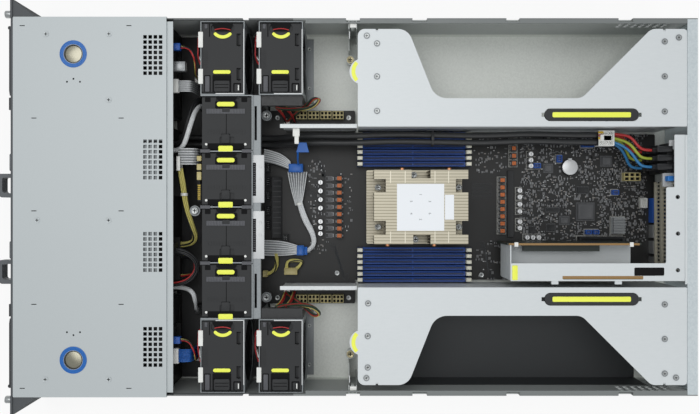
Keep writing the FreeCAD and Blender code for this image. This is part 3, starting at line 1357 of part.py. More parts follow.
def build():
    keep("chassis_tray", chassis_tray())
    keep("rear_panel", rear_panel())
    keep("slot_covers", slot_covers())
    keep("front_bay_frame", front_bay_frame())
    keep("power_button", power_button())
    keep("front_cover", front_cover())
    button = latch_button()
    keep("latch_button_left", moved(button, -latch_x, deep(latch_depth), 0))
    keep("latch_button_right", moved(button, latch_x, deep(latch_depth), 0))
    ear = rack_ear()
    keep("rack_ears", group([ear, mirror(ear)]))
    number = 0
    for side in (-1, 1):
        for row in range(tray_rows):
            number += 1
            keep("drive_tray_%d" % number, drive_tray(side, row))
            keep("tray_lever_%d" % number, tray_lever(side, row))
    for name, centre in zip(("left", "right"), psu_centres):
        keep("power_supply_" + name, power_supply(centre))
        keep("supply_tab_" + name, release_tab(centre))
    keep("backplanes", backplanes())
    side_rotor_length = 34.0
    centre_rotor_length = 40.0
    side_module = fan_housing(side_fan_width, side_fan_length, side_fan_height, side_duct_radius,
                              side_rotor_length, side_fan_details())
    side_rotor = rotor(side_duct_radius, side_rotor_length)
    number = 0
    for side in (-1, 1):
        for depth in side_fan_depths:
            number += 1
            at = (side * side_fan_x, deep(depth), side_fan_base + side_fan_height / 2)
            keep("side_fan_%d" % number, moved(side_module, *at))
            keep("side_rotor_%d" % number, moved(side_rotor, at[0], at[1] + fan_shift, at[2]))
    centre_module = fan_housing(centre_fan_width, centre_fan_length, centre_fan_height, centre_duct_radius,
                                centre_rotor_length, centre_fan_details())
    centre_rotor = rotor(centre_duct_radius, centre_rotor_length)
    for index, x in enumerate(spaced(0.0, centre_fan_pitch, 4)):
        at = (x, deep(centre_fan_depth), centre_fan_base + centre_fan_height / 2)
        keep("centre_fan_%d" % (index + 1), moved(centre_module, *at))
        keep("centre_rotor_%d" % (index + 1), moved(centre_rotor, at[0], at[1] + fan_shift, at[2]))
    keep("fan_cage", fan_cage())
    keep("motherboard", motherboard())
    keep("dimm_slots", dimm_slots())
    keep("cpu_heatsink", cpu_heatsink())
    keep("board_components", board_components())
    keep("fasteners", fasteners())
    keep("air_baffles", air_baffles())
    keep("cage_guides", cage_guides())
    keep("lane_liner", lane_liner())
    keep("gpu_cage_left", mirror(gpu_cage(left_cage_screws())))
    keep("gpu_cage_right", gpu_cage(right_cage_screws()))
    strap = strap_handle()
    keep("cage_handle_left", mirror(strap))
    keep("cage_handle_right", strap)
    keep("riser_bracket", riser_bracket())
    keep("riser_cards", riser_cards())
    keep("ac_inlets", ac_inlets())
    keep("ac_cables", ac_cables())
    keep("wiring", wiring())


build()
os.makedirs("parts", exist_ok=True)
for name, shape in parts.items():
    shape.exportStep("parts/%s.step" % name)
print(len(parts), "parts")
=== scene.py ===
import math
import random
import bmesh
import bpy
from mathutils import Matrix, Vector


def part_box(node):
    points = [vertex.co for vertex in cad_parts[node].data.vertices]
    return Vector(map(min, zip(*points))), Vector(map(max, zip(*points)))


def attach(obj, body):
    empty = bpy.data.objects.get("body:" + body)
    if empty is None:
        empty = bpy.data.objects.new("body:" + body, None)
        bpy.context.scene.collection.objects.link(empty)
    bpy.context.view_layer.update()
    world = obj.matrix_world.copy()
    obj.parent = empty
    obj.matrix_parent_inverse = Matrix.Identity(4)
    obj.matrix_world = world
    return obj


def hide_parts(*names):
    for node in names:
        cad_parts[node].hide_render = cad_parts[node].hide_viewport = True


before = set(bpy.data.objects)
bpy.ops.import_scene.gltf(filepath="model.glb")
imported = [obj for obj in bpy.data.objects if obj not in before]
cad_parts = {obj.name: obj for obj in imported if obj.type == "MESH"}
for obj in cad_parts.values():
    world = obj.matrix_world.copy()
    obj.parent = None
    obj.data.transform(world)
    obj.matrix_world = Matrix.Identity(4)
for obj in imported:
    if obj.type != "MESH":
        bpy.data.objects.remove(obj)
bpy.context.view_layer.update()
bpy.ops.object.select_all(action="DESELECT")

# Camera, floor and light
# The photograph looks straight down on the open server, its rear to the right, under even soft light.
# The floor is a pale sweep that stays white to the eye and still takes the server's shadow.
camera_height = 0.918
camera_shift_y = 0.0058
photo_width = 700
photo_height = 414
focal_pixels = 717.4
photo_centre = (photo_width / 2, photo_height / 2)

camera_data = bpy.data.cameras.new("photo_camera")
camera = bpy.data.objects.new("photo_camera", camera_data)
bpy.context.scene.collection.objects.link(camera)
camera_data.sensor_width = 36.0
camera_data.lens = camera_data.sensor_width * focal_pixels / photo_width
camera.location = (0.0, camera_shift_y, camera_height)
camera.rotation_euler = (0.0, 0.0, math.radians(90.0))
bpy.context.scene.camera = camera
bpy.context.scene.view_settings.view_transform = "Standard"


def spot(u, v, z):
    """Where a pixel of the photograph lies at a height z: row frame, millimetres."""
    scale = (camera_height * 1000.0 - z) / focal_pixels
    return Vector(((v - photo_centre[1]) * scale, (u - photo_centre[0]) * scale + camera_shift_y * 1000.0, z))


def linear(code):
    """An sRGB hex colour as linear red, green, blue and alpha."""
    values = [int(code[i:i + 2], 16) / 255 for i in (1, 3, 5)]
    return tuple(v / 12.92 if v <= 0.04045 else ((v + 0.055) / 1.055) ** 2.4 for v in values) + (1.0,)


def add_node(tree, kind, settings=(), links=()):
    """One shader node with its settings, by property or by socket, and what feeds it."""
    node = tree.nodes.new("ShaderNode" + kind)
    for key, value in dict(settings).items():
        if isinstance(key, str) and hasattr(node, key):
            setattr(node, key, value)
        else:
            node.inputs[key].default_value = value
    for key, socket in dict(links).items():
        tree.links.new(socket, node.inputs[key])
    return node


def blank_finish(name):
    """A new material holding only its output; returns the material, its tree and the output."""
    finish = bpy.data.materials.new(name)
    finish.use_nodes = True
    finish.node_tree.nodes.clear()
    return finish, finish.node_tree, add_node(finish.node_tree, "OutputMaterial")


floor_half = 4.0
floor_drop = 0.0005
floor_glow = 0.85
air_strength = 0.57
bpy.ops.mesh.primitive_plane_add(size=2 * floor_half, location=(0, 0, -floor_drop))
floor = bpy.context.object
floor.name = "studio_floor"
sweep, tree, output = blank_finish("pale_paper_sweep")
grain = add_node(tree, "TexNoise", {"Scale": 60.0, "Detail": 3.0})
paper = add_node(tree, "Mix", {"data_type": "RGBA", 6: linear("#eeeeec"), 7: linear("#f2f2f1")},
                 {0: grain.outputs[0]})
diffuse = add_node(tree, "BsdfDiffuse", {}, {"Color": paper.outputs[2]})
glow = add_node(tree, "Emission", {"Color": linear("#ffffff"), "Strength": 1.0})
rays = add_node(tree, "LightPath")
mirror_rays = add_node(tree, "Math", {"operation": "MAXIMUM"},
                       {0: rays.outputs["Is Glossy Ray"], 1: rays.outputs["Is Transmission Ray"]})
seen = add_node(tree, "Math", {"operation": "MAXIMUM"},
                {0: rays.outputs["Is Camera Ray"], 1: mirror_rays.outputs[0]})
share = add_node(tree, "Math", {"operation": "MULTIPLY", 1: floor_glow}, {0: seen.outputs[0]})
blend = add_node(tree, "MixShader", {}, {0: share.outputs[0], 1: diffuse.outputs[0], 2: glow.outputs[0]})
tree.links.new(blend.outputs[0], output.inputs["Surface"])
floor.data.materials.append(sweep)

world = bpy.data.worlds.new("studio_air")
bpy.context.scene.world = world
world.use_nodes = True
world.node_tree.nodes["Background"].inputs["Color"].default_value = linear("#f4f7fa")
world.node_tree.nodes["Background"].inputs["Strength"].default_value = air_strength

for lamp_name, place, lamp_size, power in (("soft_top", (-0.5, -0.4, 2.3), 1.8, 22.0),
                                           ("soft_side", (1.6, 0.9, 1.9), 1.2, 9.0)):
    lamp_data = bpy.data.lights.new(lamp_name, "AREA")
    lamp_data.shape = "SQUARE"
    lamp_data.size = lamp_size
    lamp_data.energy = power
    lamp = bpy.data.objects.new(lamp_name, lamp_data)
    lamp.location = place
    lamp.rotation_euler = (-Vector(place)).to_track_quat("-Z", "Y").to_euler()
    bpy.context.scene.collection.objects.link(lamp)

# Chassis tray, fan cage and other galvanised parts
# Hot-dip galvanised steel sheet, cut and folded: pale grey zinc with a faint spangle a few millimetres
# wide and a satin sheen that changes from crystal to crystal.


def surface(name, base, tint, metallic, rough, grain_mm, bump_mm=0.0, cells=False, stretch=(1, 1, 1),
            swing=0.08, settings=()):
    """A material whose colour, roughness and relief follow one grain of real size."""
    finish, tree, output = blank_finish(name)
    place = add_node(tree, "TexCoord")
    turn = add_node(tree, "Mapping", {"Scale": tuple(s * 1000.0 / grain_mm for s in stretch)},
                    {"Vector": place.outputs["Object"]})
    if cells:
        pattern = add_node(tree, "TexVoronoi", {"Scale": 1.0, "Randomness": 1.0}, {"Vector": turn.outputs[0]})
        value = add_node(tree, "SeparateColor", {}, {0: pattern.outputs["Color"]}).outputs[0]
    else:
        pattern = add_node(tree, "TexNoise", {"Scale": 1.0, "Detail": 4.0, "Roughness": 0.6},
                           {"Vector": turn.outputs[0]})
        value = pattern.outputs[0]
    colour = add_node(tree, "Mix", {"data_type": "RGBA", 6: linear(base), 7: linear(tint)}, {0: value})
    gloss = add_node(tree, "MapRange", {"To Min": rough - swing, "To Max": rough + swing}, {"Value": value})
    links = {"Base Color": colour.outputs[2], "Roughness": gloss.outputs[0]}
    if bump_mm:
        relief = add_node(tree, "Bump", {"Strength": 0.6, "Distance": bump_mm / 1000.0}, {"Height": value})
        links["Normal"] = relief.outputs[0]
    shader = add_node(tree, "BsdfPrincipled", {"Metallic": metallic, **dict(settings)}, links)
    tree.links.new(shader.outputs[0], output.inputs["Surface"])
    return finish


def overlay(finish, share, code):
    """Another colour laid over the finish's own by a share from 0 to 1; returns the finish's shader."""
    tree = finish.node_tree
    shader = next(n for n in tree.nodes if n.type == "BSDF_PRINCIPLED")
    before = shader.inputs["Base Color"].links[0].from_socket
    colour = add_node(tree, "Mix", {"data_type": "RGBA", 7: linear(code)}, {0: share, 6: before})
    tree.links.new(colour.outputs[2], shader.inputs["Base Color"])
    return shader


def tint_where(finish, low, high, code, metallic):
    """Another colour and metal share inside a box of the row frame, millimetres."""
    tree = finish.node_tree
    place = add_node(tree, "TexCoord")
    centre = (Vector(low) + Vector(high)) / 2000.0
    half = (Vector(high) - Vector(low)) / 2000.0
    away = add_node(tree, "VectorMath", {"operation": "SUBTRACT", 1: centre}, {0: place.outputs["Object"]})
    size = add_node(tree, "VectorMath", {"operation": "ABSOLUTE"}, {0: away.outputs[0]})
    past = add_node(tree, "VectorMath", {"operation": "SUBTRACT", 1: half}, {0: size.outputs[0]})
    parts = add_node(tree, "SeparateXYZ", {}, {0: past.outputs[0]})
    wide = add_node(tree, "Math", {"operation": "MAXIMUM"}, {0: parts.outputs[0], 1: parts.outputs[1]})
    most = add_node(tree, "Math", {"operation": "MAXIMUM"}, {0: wide.outputs[0], 1: parts.outputs[2]})
    inside = add_node(tree, "Math", {"operation": "LESS_THAN", 1: 0.0}, {0: most.outputs[0]})
    shader = overlay(finish, inside.outputs[0], code)
    own = shader.inputs["Metallic"].default_value
    share = add_node(tree, "MapRange", {"To Min": own, "To Max": metallic}, {"Value": inside.outputs[0]})
    tree.links.new(share.outputs[0], shader.inputs["Metallic"])


def dress(finish, *nodes):
    """Gives CAD nodes their finish."""
    for node in nodes:
        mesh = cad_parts[node].data
        mesh.materials.clear()
        mesh.materials.append(finish)


galvanised = surface("galvanised_steel_sheet", "#b4b9b7", "#bec2bf", 0.2, 0.5, 1.8, cells=True, swing=0.05)
dress(galvanised, "slot_covers", "cage_guides")
rear_steel = surface("galvanised_rear_sheet", "#c2cbce", "#cdd5d7", 0.2, 0.46, 1.8, cells=True, swing=0.05)
dress(rear_steel, "rear_panel")
cage_steel = surface("zinc_coated_cage_sheet", "#83888a", "#909597", 0.3, 0.46, 1.8, cells=True, swing=0.05)
dress(cage_steel, "fan_cage")
baffle_steel = surface("bright_baffle_sheet", "#cfd3d3", "#d9dcdc", 0.15, 0.46, 1.8, cells=True, swing=0.04)
pocket_wide, wall_wide = 13.7, 17.5
# Painted shade: the tall pockets of the air baffles are coloured near black.
for low_x in (-131.5, 117.8):
    tint_where(baffle_steel, (low_x, -99.0, 60), (low_x + pocket_wide, -48.0, 81), "#232425", 0.0)
dress(baffle_steel, "air_baffles")
tray_steel = surface("galvanised_tray_sheet", "#d6d9d3", "#e0e3dd", 0.12, 0.5, 1.8, cells=True, swing=0.05)
# Painted shade: the side walls, their top lips and the front lips are coloured darker than the tray sheet, for
# the shade on walls seen edge-on.
for low_x in (-230.0, 212.5):
    for rear_end, low_z, code in ((420, 12, "#a3a7a5"), (420, 82, "#777b7a"), (-60, 78, "#4f5252")):
        tint_where(tray_steel, (low_x, -420, low_z), (low_x + wall_wide, rear_end, 92), code, 0.1)
# Painted shade: the tray floor and walls in the deep front lane and under the fans are coloured near black.
tint_where(tray_steel, (-217, -215, -1), (217, -96, 70), "#191a1b", 0.0)
dress(tray_steel, "chassis_tray")
zinc = surface("zinc_plated_steel", "#d0d5d6", "#d8dcdd", 0.12, 0.46, 2.0, stretch=(1, 0.2, 1), swing=0.04)
dress(zinc, "gpu_cage_left", "gpu_cage_right", "riser_bracket")


def facing(axis, sign=0):
    """A test for faces square to an axis: at both its ends, or at the end of one sign."""
    i = "XYZ".index(axis)
    return lambda normal: (sign * normal[i] if sign else abs(normal[i])) > 0.9


facing_up = facing("Z", 1)


def start_box(low, high):
    """A box between two corners in millimetres, the start of a sheet or moulded piece."""
    bpy.ops.object.select_all(action="DESELECT")
    bpy.ops.mesh.primitive_cube_add(size=1.0, location=[(a + b) / 2000.0 for a, b in zip(low, high)])
    piece = bpy.context.object
    piece.scale = [(b - a) / 1000.0 for a, b in zip(low, high)]
    bpy.ops.object.transform_apply(location=True, rotation=True, scale=True)
    return piece


def start_rod(centre, radius, length, sides=24, axis="Z"):
    """A rod about its centre in millimetres, the start of a turned piece."""
    turn = {"X": (0, math.pi / 2, 0), "Y": (math.pi / 2, 0, 0), "Z": (0, 0, 0)}[axis]
    bpy.ops.object.select_all(action="DESELECT")
    bpy.ops.mesh.primitive_cylinder_add(vertices=sides, radius=radius / 1000.0, depth=length / 1000.0,
                                        location=[c / 1000.0 for c in centre], rotation=turn)
    bpy.ops.object.transform_apply(location=True, rotation=True, scale=True)
    return bpy.context.object


def inset(width, sink=0.0):
    return "inset", {"thickness": width / 1000.0, "depth": -sink / 1000.0}


def push(x, y, z):
    return "extrude_region_move", {"TRANSFORM_OT_translate": {"value": (x / 1000.0, y / 1000.0, z / 1000.0)}}


def activate(piece):
    bpy.ops.object.select_all(action="DESELECT")
    bpy.context.view_layer.objects.active = piece
    piece.select_set(True)


def work(piece, test, *steps):
    """Edit mode on the faces whose normal passes the test: one mesh operator after another."""
    activate(piece)
    bpy.ops.object.mode_set(mode="EDIT")
    bpy.ops.mesh.select_mode(type="FACE")
    bpy.ops.mesh.select_all(action="DESELECT")
    bpy.ops.object.mode_set(mode="OBJECT")
    for face in piece.data.polygons:
        face.select = test(face.normal)
    bpy.ops.object.mode_set(mode="EDIT")
    for operator, settings in steps:
        group, name = operator.split(".") if "." in operator else ("mesh", operator)
        getattr(getattr(bpy.ops, group), name)(**settings)
    bpy.ops.object.mode_set(mode="OBJECT")
    return piece


def soften(piece, width, steps=2):
    """Eases the sharp edges with an applied Bevel."""
    edge = piece.modifiers.new("edge", "BEVEL")
    edge.width = width / 1000.0
    edge.segments = steps
    edge.limit_method = "ANGLE"
    edge.angle_limit = math.radians(35.0)
    activate(piece)
    bpy.ops.object.modifier_apply(modifier=edge.name)
    return piece


def paint(piece, finish):
    piece.data.materials.clear()
    piece.data.materials.append(finish)
    return piece


def move(piece, x, y, z=0.0):
    """Moves the piece's mesh, millimetres."""
    piece.data.transform(Matrix.Translation((x / 1000.0, y / 1000.0, z / 1000.0)))
    return piece


def slab(width, length, low_z, high_z):
    """A box about the upright axis, millimetres."""
    return start_box((-width / 2, -length / 2, low_z), (width / 2, length / 2, high_z))


def eased(low, high, finish, ease, *steps, rounds=2):
    """A box in one finish, its top face worked by the steps and its edges eased."""
    piece = start_box(low, high)
    if steps:
        work(piece, facing_up, *steps)
    return paint(soften(piece, ease, rounds), finish)


def on_side(side, low, high):
    """Corners given for the right side of the server (1), or mirrored to the left (-1)."""
    near, far = sorted((side * low[0], side * high[0]))
    return (near, *low[1:]), (far, *high[1:])


def twin(piece, shift=(0, 0, 0)):
    """A copy with its own mesh, moved in millimetres."""
    copy = piece.copy()
    copy.data = piece.data.copy()
    bpy.context.scene.collection.objects.link(copy)
    copy.data.transform(Matrix.Translation(Vector(shift) / 1000.0))
    return copy


def join(pieces):
    bpy.ops.object.select_all(action="DESELECT")
    for piece in pieces:
        piece.select_set(True)
    bpy.context.view_layer.objects.active = pieces[0]
    if len(pieces) > 1:
        bpy.ops.object.join()
    return pieces[0]


def repeat(piece, shifts):
    """The piece at each shift in millimetres, copied with its own mesh and joined; the first is moved."""
    copies = [twin(piece, shift) for shift in shifts[1:]]
    piece.data.transform(Matrix.Translation(Vector(shifts[0]) / 1000.0))
    return join([piece] + copies)


def settle(parts, name, body="root", stands_for=(), angle=35.0):
    """Joins one piece's parts, smooths it and fixes it to its body."""
    piece = join(parts)
    piece.name = name
    piece.data.name = name
    activate(piece)
    bpy.ops.object.shade_smooth_by_angle(angle=math.radians(angle))
    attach(piece, body)
    if stands_for:
        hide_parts(*stands_for)
    return piece


def corners_of(node):
    """Lowest and highest corner of a CAD node, millimetres."""
    low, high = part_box(node)
    return Vector(low) * 1000.0, Vector(high) * 1000.0


front_y = corners_of("front_bay_frame")[0].y
cage_top = corners_of("gpu_cage_right")[1].z
plate_top = cage_top - 0.5
# Painted shade: a near-black finish laid on slots, notches, recesses, screw crosses, socket mouths and the
# backing behind vents, where only shade makes them dark.
painted_shade_black = surface("shadowed_recess", "#0c0c0d", "#121213", 0.0, 0.7, 1.0,
                   settings={"Specular IOR Level": 0.15})
sides = ((-1, "left"), (1, "right"))
white_nylon = surface("white_nylon", "#e2e3de", "#ecece8", 0.0, 0.42, 1.2)
neon_resin = surface("neon_yellow_resin", "#f0f64a", "#f6fb66", 0.0, 0.45, 1.0, 0.01)


def deep(depth):
    """Y of a depth behind the front plate, millimetres."""
    return front_y + depth


def arc_band(centre, radius, width, low, high, middle_angle, sweep, steps=20):
    """A flat curved band seen from above: an upright strip across it, spun about a vertical axis."""
    start = math.radians(middle_angle + sweep / 2)
    bpy.ops.object.select_all(action="DESELECT")
    bpy.ops.mesh.primitive_plane_add(size=1.0)
    strip = bpy.context.object
    strip.scale = (width / 1000.0, (high - low) / 1000.0, 1.0)
    strip.rotation_euler = (math.pi / 2, 0, 0)
    bpy.ops.object.transform_apply(location=False, rotation=True, scale=True)
    move(strip, radius, 0, (low + high) / 2)
    strip.data.transform(Matrix.Rotation(start, 4, "Z"))
    work(strip, lambda normal: True,
         ("spin", {"steps": steps, "angle": math.radians(sweep), "center": (0, 0, 0), "axis": (0, 0, 1)}),
         ("select_all", {"action": "SELECT"}), ("remove_doubles", {"threshold": 1e-6}),
         ("fill_holes", {"sides": 4}), ("normals_make_consistent", {"inside": False}))
    return move(strip, *centre)


def pill(low, high, finish, ease=0.9):
    """A low rounded mark: four upright edges rounded to a stadium, top edge eased."""
    piece = start_box(low, high)
    reach = min(high[0] - low[0], high[1] - low[1]) / 2 - 0.02
    activate(piece)
    bpy.ops.object.mode_set(mode="EDIT")
    bpy.ops.mesh.select_mode(type="EDGE")
    bpy.ops.mesh.select_all(action="DESELECT")
    bpy.ops.object.mode_set(mode="OBJECT")
    for edge in piece.data.edges:
        ends = [piece.data.vertices[i].co for i in edge.vertices]
        edge.select = abs(ends[0].z - ends[1].z) > 1e-6
    bpy.ops.object.mode_set(mode="EDIT")
    bpy.ops.mesh.bevel(offset=reach * ease / 1000.0, segments=6)
    bpy.ops.object.mode_set(mode="OBJECT")
    return paint(soften(piece, (high[2] - low[2]) * 0.3), finish)


# Front cover, latch rings and screws
# The cover is clear-coated steel over the bays. Each push latch sits in a blue resin ring pressed into
# the sheet; the gap round the chromed button is a dark ring of painted shade. Flat recessed-cross screws hold
# the sheet.
cover_paint = surface("clear_coated_steel", "#b6bcbd", "#bdc3c4", 0.15, 0.48, 1.2, 0.02, swing=0.04)
dress(cover_paint, "front_cover")
chrome = surface("chrome_plated_steel", "#8f8c7c", "#a3a090", 1.0, 0.3, 6.0, swing=0.04)
dress(chrome, "latch_button_left", "latch_button_right")
ring_blue = surface("blue_ring_resin", "#095aa8", "#0f64b4", 0.0, 0.4, 1.5)
# Painted shade: a dark ring laid over gaps and holes where shade falls.
gap_shade_ring = surface("gap_shade_ring_paint", "#3c3e40", "#4b4d50", 0.6, 0.4, 1.0)
button_low, button_high = corners_of("latch_button_right")
button_y = (button_low.y + button_high.y) / 2
cover_top = corners_of("front_cover")[1].z


def ring(radius, width, height, low_z, finish):
    """A turned ring: a torus pressed flat."""
    bpy.ops.object.select_all(action="DESELECT")
    bpy.ops.mesh.primitive_torus_add(major_radius=radius / 1000.0, minor_radius=width / 2000.0,
                                     major_segments=64, minor_segments=10)
    piece = bpy.context.object
    piece.scale = (1.0, 1.0, height / width)
    bpy.ops.object.transform_apply(location=False, rotation=False, scale=True)
    return paint(move(piece, 0, 0, low_z + height / 2), finish)


for side, label in sides:
    latch_x = side * (button_low.x + button_high.x) / 2
    blue = move(ring(13.5, 4.5, 0.26, cover_top - 0.02, ring_blue), latch_x, button_y)
    settle([blue], "latch_ring_" + label)
    # The dark ring covers the clearance between button and cover as painted shade.
    rim = move(ring(10.35, 1.1, 0.24, cover_top, gap_shade_ring), latch_x, button_y)
    settle([rim], "latch_gap_shade_" + label)

nickel = surface("nickel_plated_screw", "#a3a6a6", "#b4b7b6", 0.8, 0.36, 1.0)
dress(nickel, "power_button")


def islands(node):
    """The separate solids of a CAD node as low and high corners in millimetres, in a steady order."""
    merged = bmesh.new()
    merged.from_mesh(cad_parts[node].data)
    bmesh.ops.remove_doubles(merged, verts=merged.verts, dist=1e-6)
    boxes = []
    seen = set()
    for first in merged.verts:
        if first in seen:
            continue
        group = [first]
        seen.add(first)
        for vertex in group:
            for edge in vertex.link_edges:
                other = edge.other_vert(vertex)
                if other not in seen:
                    seen.add(other)
                    group.append(other)
        low = Vector([min(v.co[i] for v in group) * 1000.0 for i in range(3)])
        high = Vector([max(v.co[i] for v in group) * 1000.0 for i in range(3)])
        boxes.append((low, high))
    merged.free()
    return sorted(boxes, key=lambda box: tuple(round(c, 2) for c in box[0]))


def screw_head(radius, height, finish):
    """A turned head about the origin, its crown dished and its cross recess two dark bars of painted shade."""
    head = start_rod((0, 0, height / 2), radius, height, 20)
    work(head, facing_up, inset(radius * 0.2), inset(radius * 0.08, height * 0.12))
    soften(head, min(radius, height) * 0.16)
    arm = radius * 0.55
    slots = [start_box((-arm, -radius * 0.12, height * 0.72), (arm, radius * 0.12, height * 0.93)),
             start_box((-radius * 0.12, -arm, height * 0.72), (radius * 0.12, arm, height * 0.93))]
    return join([paint(head, finish)] + [paint(slot, painted_shade_black) for slot in slots])


screws = []
rear_limit = corners_of("rear_panel")[1].y - 0.1
for low, high in islands("fasteners"):
    middle = (low + high) / 2
    width, height = high.x - low.x, high.z - low.z
    if high.y - low.y > 9.0:
        knob = start_rod((middle.x, low.y + 4.0, middle.z), width / 2, 8.0, 28, "Y")
        work(knob, facing("Y", -1), inset(1.2), push(0, 0.8, 0))
        soften(knob, 0.5)
        neck = start_rod((middle.x, high.y - 4.5, middle.z), 2.6, 9.0, 20, "Y")
        collar = start_rod((middle.x, high.y - 1.5, middle.z), width / 2, 3.0, 24, "Y")
        soften(neck, 0.2)
        soften(collar, 0.4)
        screws += [paint(turned, nickel) for turned in (knob, neck, collar)]
    elif height > 12.0:
        spring = start_rod((middle.x, middle.y, high.z - 11.0), 3.0, 12.0, 16)
        work(spring, facing_up, inset(0.4))
        head = screw_head(3.9, 5.0, nickel)
        screws += [paint(soften(spring, 0.2), nickel), move(head, middle.x, middle.y, high.z - 5.0)]
    elif height > 2.0:
        head = screw_head(min(3.0, rear_limit - middle.y), 1.8, nickel)
        screws.append(move(head, middle.x, middle.y, high.z - 1.8))
    else:
        screws.append(move(screw_head(3.3, 0.58, cover_paint), middle.x, middle.y, low.z))
settle(screws, "screw_set", stands_for=("fasteners",))

# Front bay and rack ears
# Folded steel front frame with the drive openings and the two bolted rack ears, all in a fine-grained
# dark powder coat that dulls every edge.
ear_coat = surface("dark_powder_coat", "#4a4d4f", "#54575a", 0.1, 0.62, 0.9, 0.06)
dress(ear_coat, "front_bay_frame", "rack_ears")

# Drive trays with their levers
# Injection-moulded carriers, matt black, each closed by a hinged lever along its front. A clear light
# pipe and a vented face show round the lever.
tray_resin = surface("black_tray_resin", "#232426", "#2d2e30", 0.0, 0.5, 0.8, 0.03)
dress(tray_resin, *["%s_%d" % (what, number) for what in ("drive_tray", "tray_lever")
                    for number in range(1, 7)])
light_pipe = surface("clear_light_pipe", "#b9c4c6", "#c9d2d3", 0.0, 0.2, 1.0)
for number in range(1, 7):
    low, high = corners_of("tray_lever_%d" % number)
    pipe = pill((high.x - 3.4, low.y - 0.25, (low.z + high.z) / 2 - 4.0),
                (high.x - 1.8, low.y + 0.5, (low.z + high.z) / 2 + 4.0), light_pipe, 0.6)
    settle([pipe], "lever_light_pipe_%d" % number, "tray_lever_%d" % number)

# Power supplies
# Plug-in supplies in satin grey steel cases, darker at the front, with a black pull handle; the small blue
# tab beside the handle lets the latch go.
supply_metal = surface("supply_case_steel", "#6f7375", "#7d8183", 0.7, 0.42, 1.5)
dress(supply_metal, "power_supply_left", "power_supply_right")
tab_resin = surface("blue_release_resin", "#2a6fb8", "#2f79c4", 0.0, 0.4, 0.9)
dress(tab_resin, "supply_tab_left", "supply_tab_right")
tint_where(supply_metal, (-300, -420, 40), (300, front_y - 1.6, 90), "#5b5e61", 0.1)

# Side fan modules
# Hot-swap fan boxes of glass-filled black nylon. The top has a finger notch with a bright yellow grip arc,
# a yellow bar by the latch, moulded slots and posts; the fan lead shows red in the notch.
fan_resin = surface("black_fan_resin", "#2a2b2c", "#323334", 0.0, 0.55, 0.7, 0.03,
                    settings={"Specular IOR Level": 0.3})
dress(fan_resin, *["%s_%s_%d" % (where, what, number) for where in ("side", "centre")
                   for what in ("fan", "rotor") for number in range(1, 5)])
ribbed_resin = surface("grey_fan_resin", "#46474b", "#525358", 0.0, 0.5, 0.9, 0.02)
red_jacket = surface("red_wire_jacket", "#a32424", "#b93030", 0.0, 0.38, 1.0)


def tapered(low, high, finish, share):
    """A box whose end towards +X is narrowed to a share of its width."""
    piece = start_box(low, high)
    work(piece, facing("X", 1), ("transform.resize", {"value": (1.0, share, 1.0)}))
    return paint(piece, finish)


def strands(routes, thickness, finish, smooth=True):
    """Wires along lists of points in millimetres: one curve with a spline each, made into a mesh."""
    line = bpy.data.curves.new("strands", "CURVE")
    line.dimensions = "3D"
    line.bevel_depth = thickness / 2000.0
    line.bevel_resolution = 2
    line.use_fill_caps = True
    line.resolution_u = 5
    for route in routes:
        spline = line.splines.new("NURBS")
        spline.points.add(len(route) - 1)
        for point, place in zip(spline.points, route):
            point.co = (place[0] / 1000.0, place[1] / 1000.0, place[2] / 1000.0, 1.0)
        spline.order_u = 3 if smooth else 2
        spline.use_endpoint_u = True
    piece = bpy.data.objects.new("strands", line)
    bpy.context.scene.collection.objects.link(piece)
    activate(piece)
    bpy.ops.object.convert(target="MESH")
    piece = bpy.context.object
    return paint(piece, finish)


side_low, side_high = corners_of("side_fan_1")
side_top = side_high.z
side_mid = (side_low.y + side_high.y) / 2


def side_mark(x0, x1, y0, y1, finish, height=0.12, lift=0.0):
    """A low moulded mark on the first side module, by its offset from the module's outer edge."""
    return pill((side_low.x + x0, side_mid + y0, side_top - 0.02 + lift),
                (side_low.x + x1, side_mid + y1, side_top + height + lift), finish, 0.3)


def crown(kind, parts):
    """Joins the first fan's parts, copies them to the other three of its kind and fixes each to its fan."""
    first = join(parts)
    places = [corners_of("%s_fan_%d" % (kind, number))[0] for number in range(1, 5)]
    copies = [twin(first, place - places[0]) for place in places[1:]]
    for number, piece in enumerate([first] + copies, 1):
        settle([piece], "%s_fan_top_%d" % (kind, number), "%s_fan_%d" % (kind, number))


arc_x, arc_y, arc_radius = side_low.x + 4.3, side_mid + 0.3, 12.3
arc = arc_band((arc_x, arc_y), arc_radius, 3.7, side_top, side_top + 0.5, 0.0, 88.0)
arc_ends = [start_rod((arc_x + arc_radius * math.cos(a), arc_y + arc_radius * math.sin(a), side_top + 0.28),
                      1.85, 0.56, 24) for a in (math.radians(-44.0), math.radians(44.0))]
side_parts = [paint(arc, neon_resin)] + [paint(soften(end, 0.15), neon_resin) for end in arc_ends]
side_parts.append(pill((side_low.x + 55.2, side_mid - 10.8, side_top),
                       (side_low.x + 59.4, side_mid + 9.4, side_top + 0.5), neon_resin))
# The finger notch and the moulded slots are near-black marks of painted shade on the flat top.
side_parts.append(tapered((side_low.x + 0.8, side_mid - 12.4, side_top - 0.02),
                          (side_low.x + 9.4, side_mid + 12.6, side_top + 0.1), painted_shade_black, 0.66))
notch_lead = [(side_low.x + x, side_mid + y, side_top + z)
              for x, y, z in ((8.2, -9.0, 0.4), (6.9, -3.0, 0.6), (7.0, 4.0, 0.6), (8.6, 9.4, 0.4))]
side_parts.append(strands([notch_lead], 1.2, red_jacket))
side_parts += [side_mark(*mark) for mark in (
    (60.8, 66.8, -11.6, 10.2, painted_shade_black), (66.4, 80.6, -11.6, -9.8, painted_shade_black),
    (66.4, 80.6, 8.4, 10.2, painted_shade_black), (67.4, 80.4, -9.8, 8.4, fan_resin, 1.1),
    (71.6, 72.4, -8.6, 7.2, painted_shade_black, 0.1, 1.1), (75.2, 76.0, -8.6, 7.2, painted_shade_black, 0.1, 1.1))]
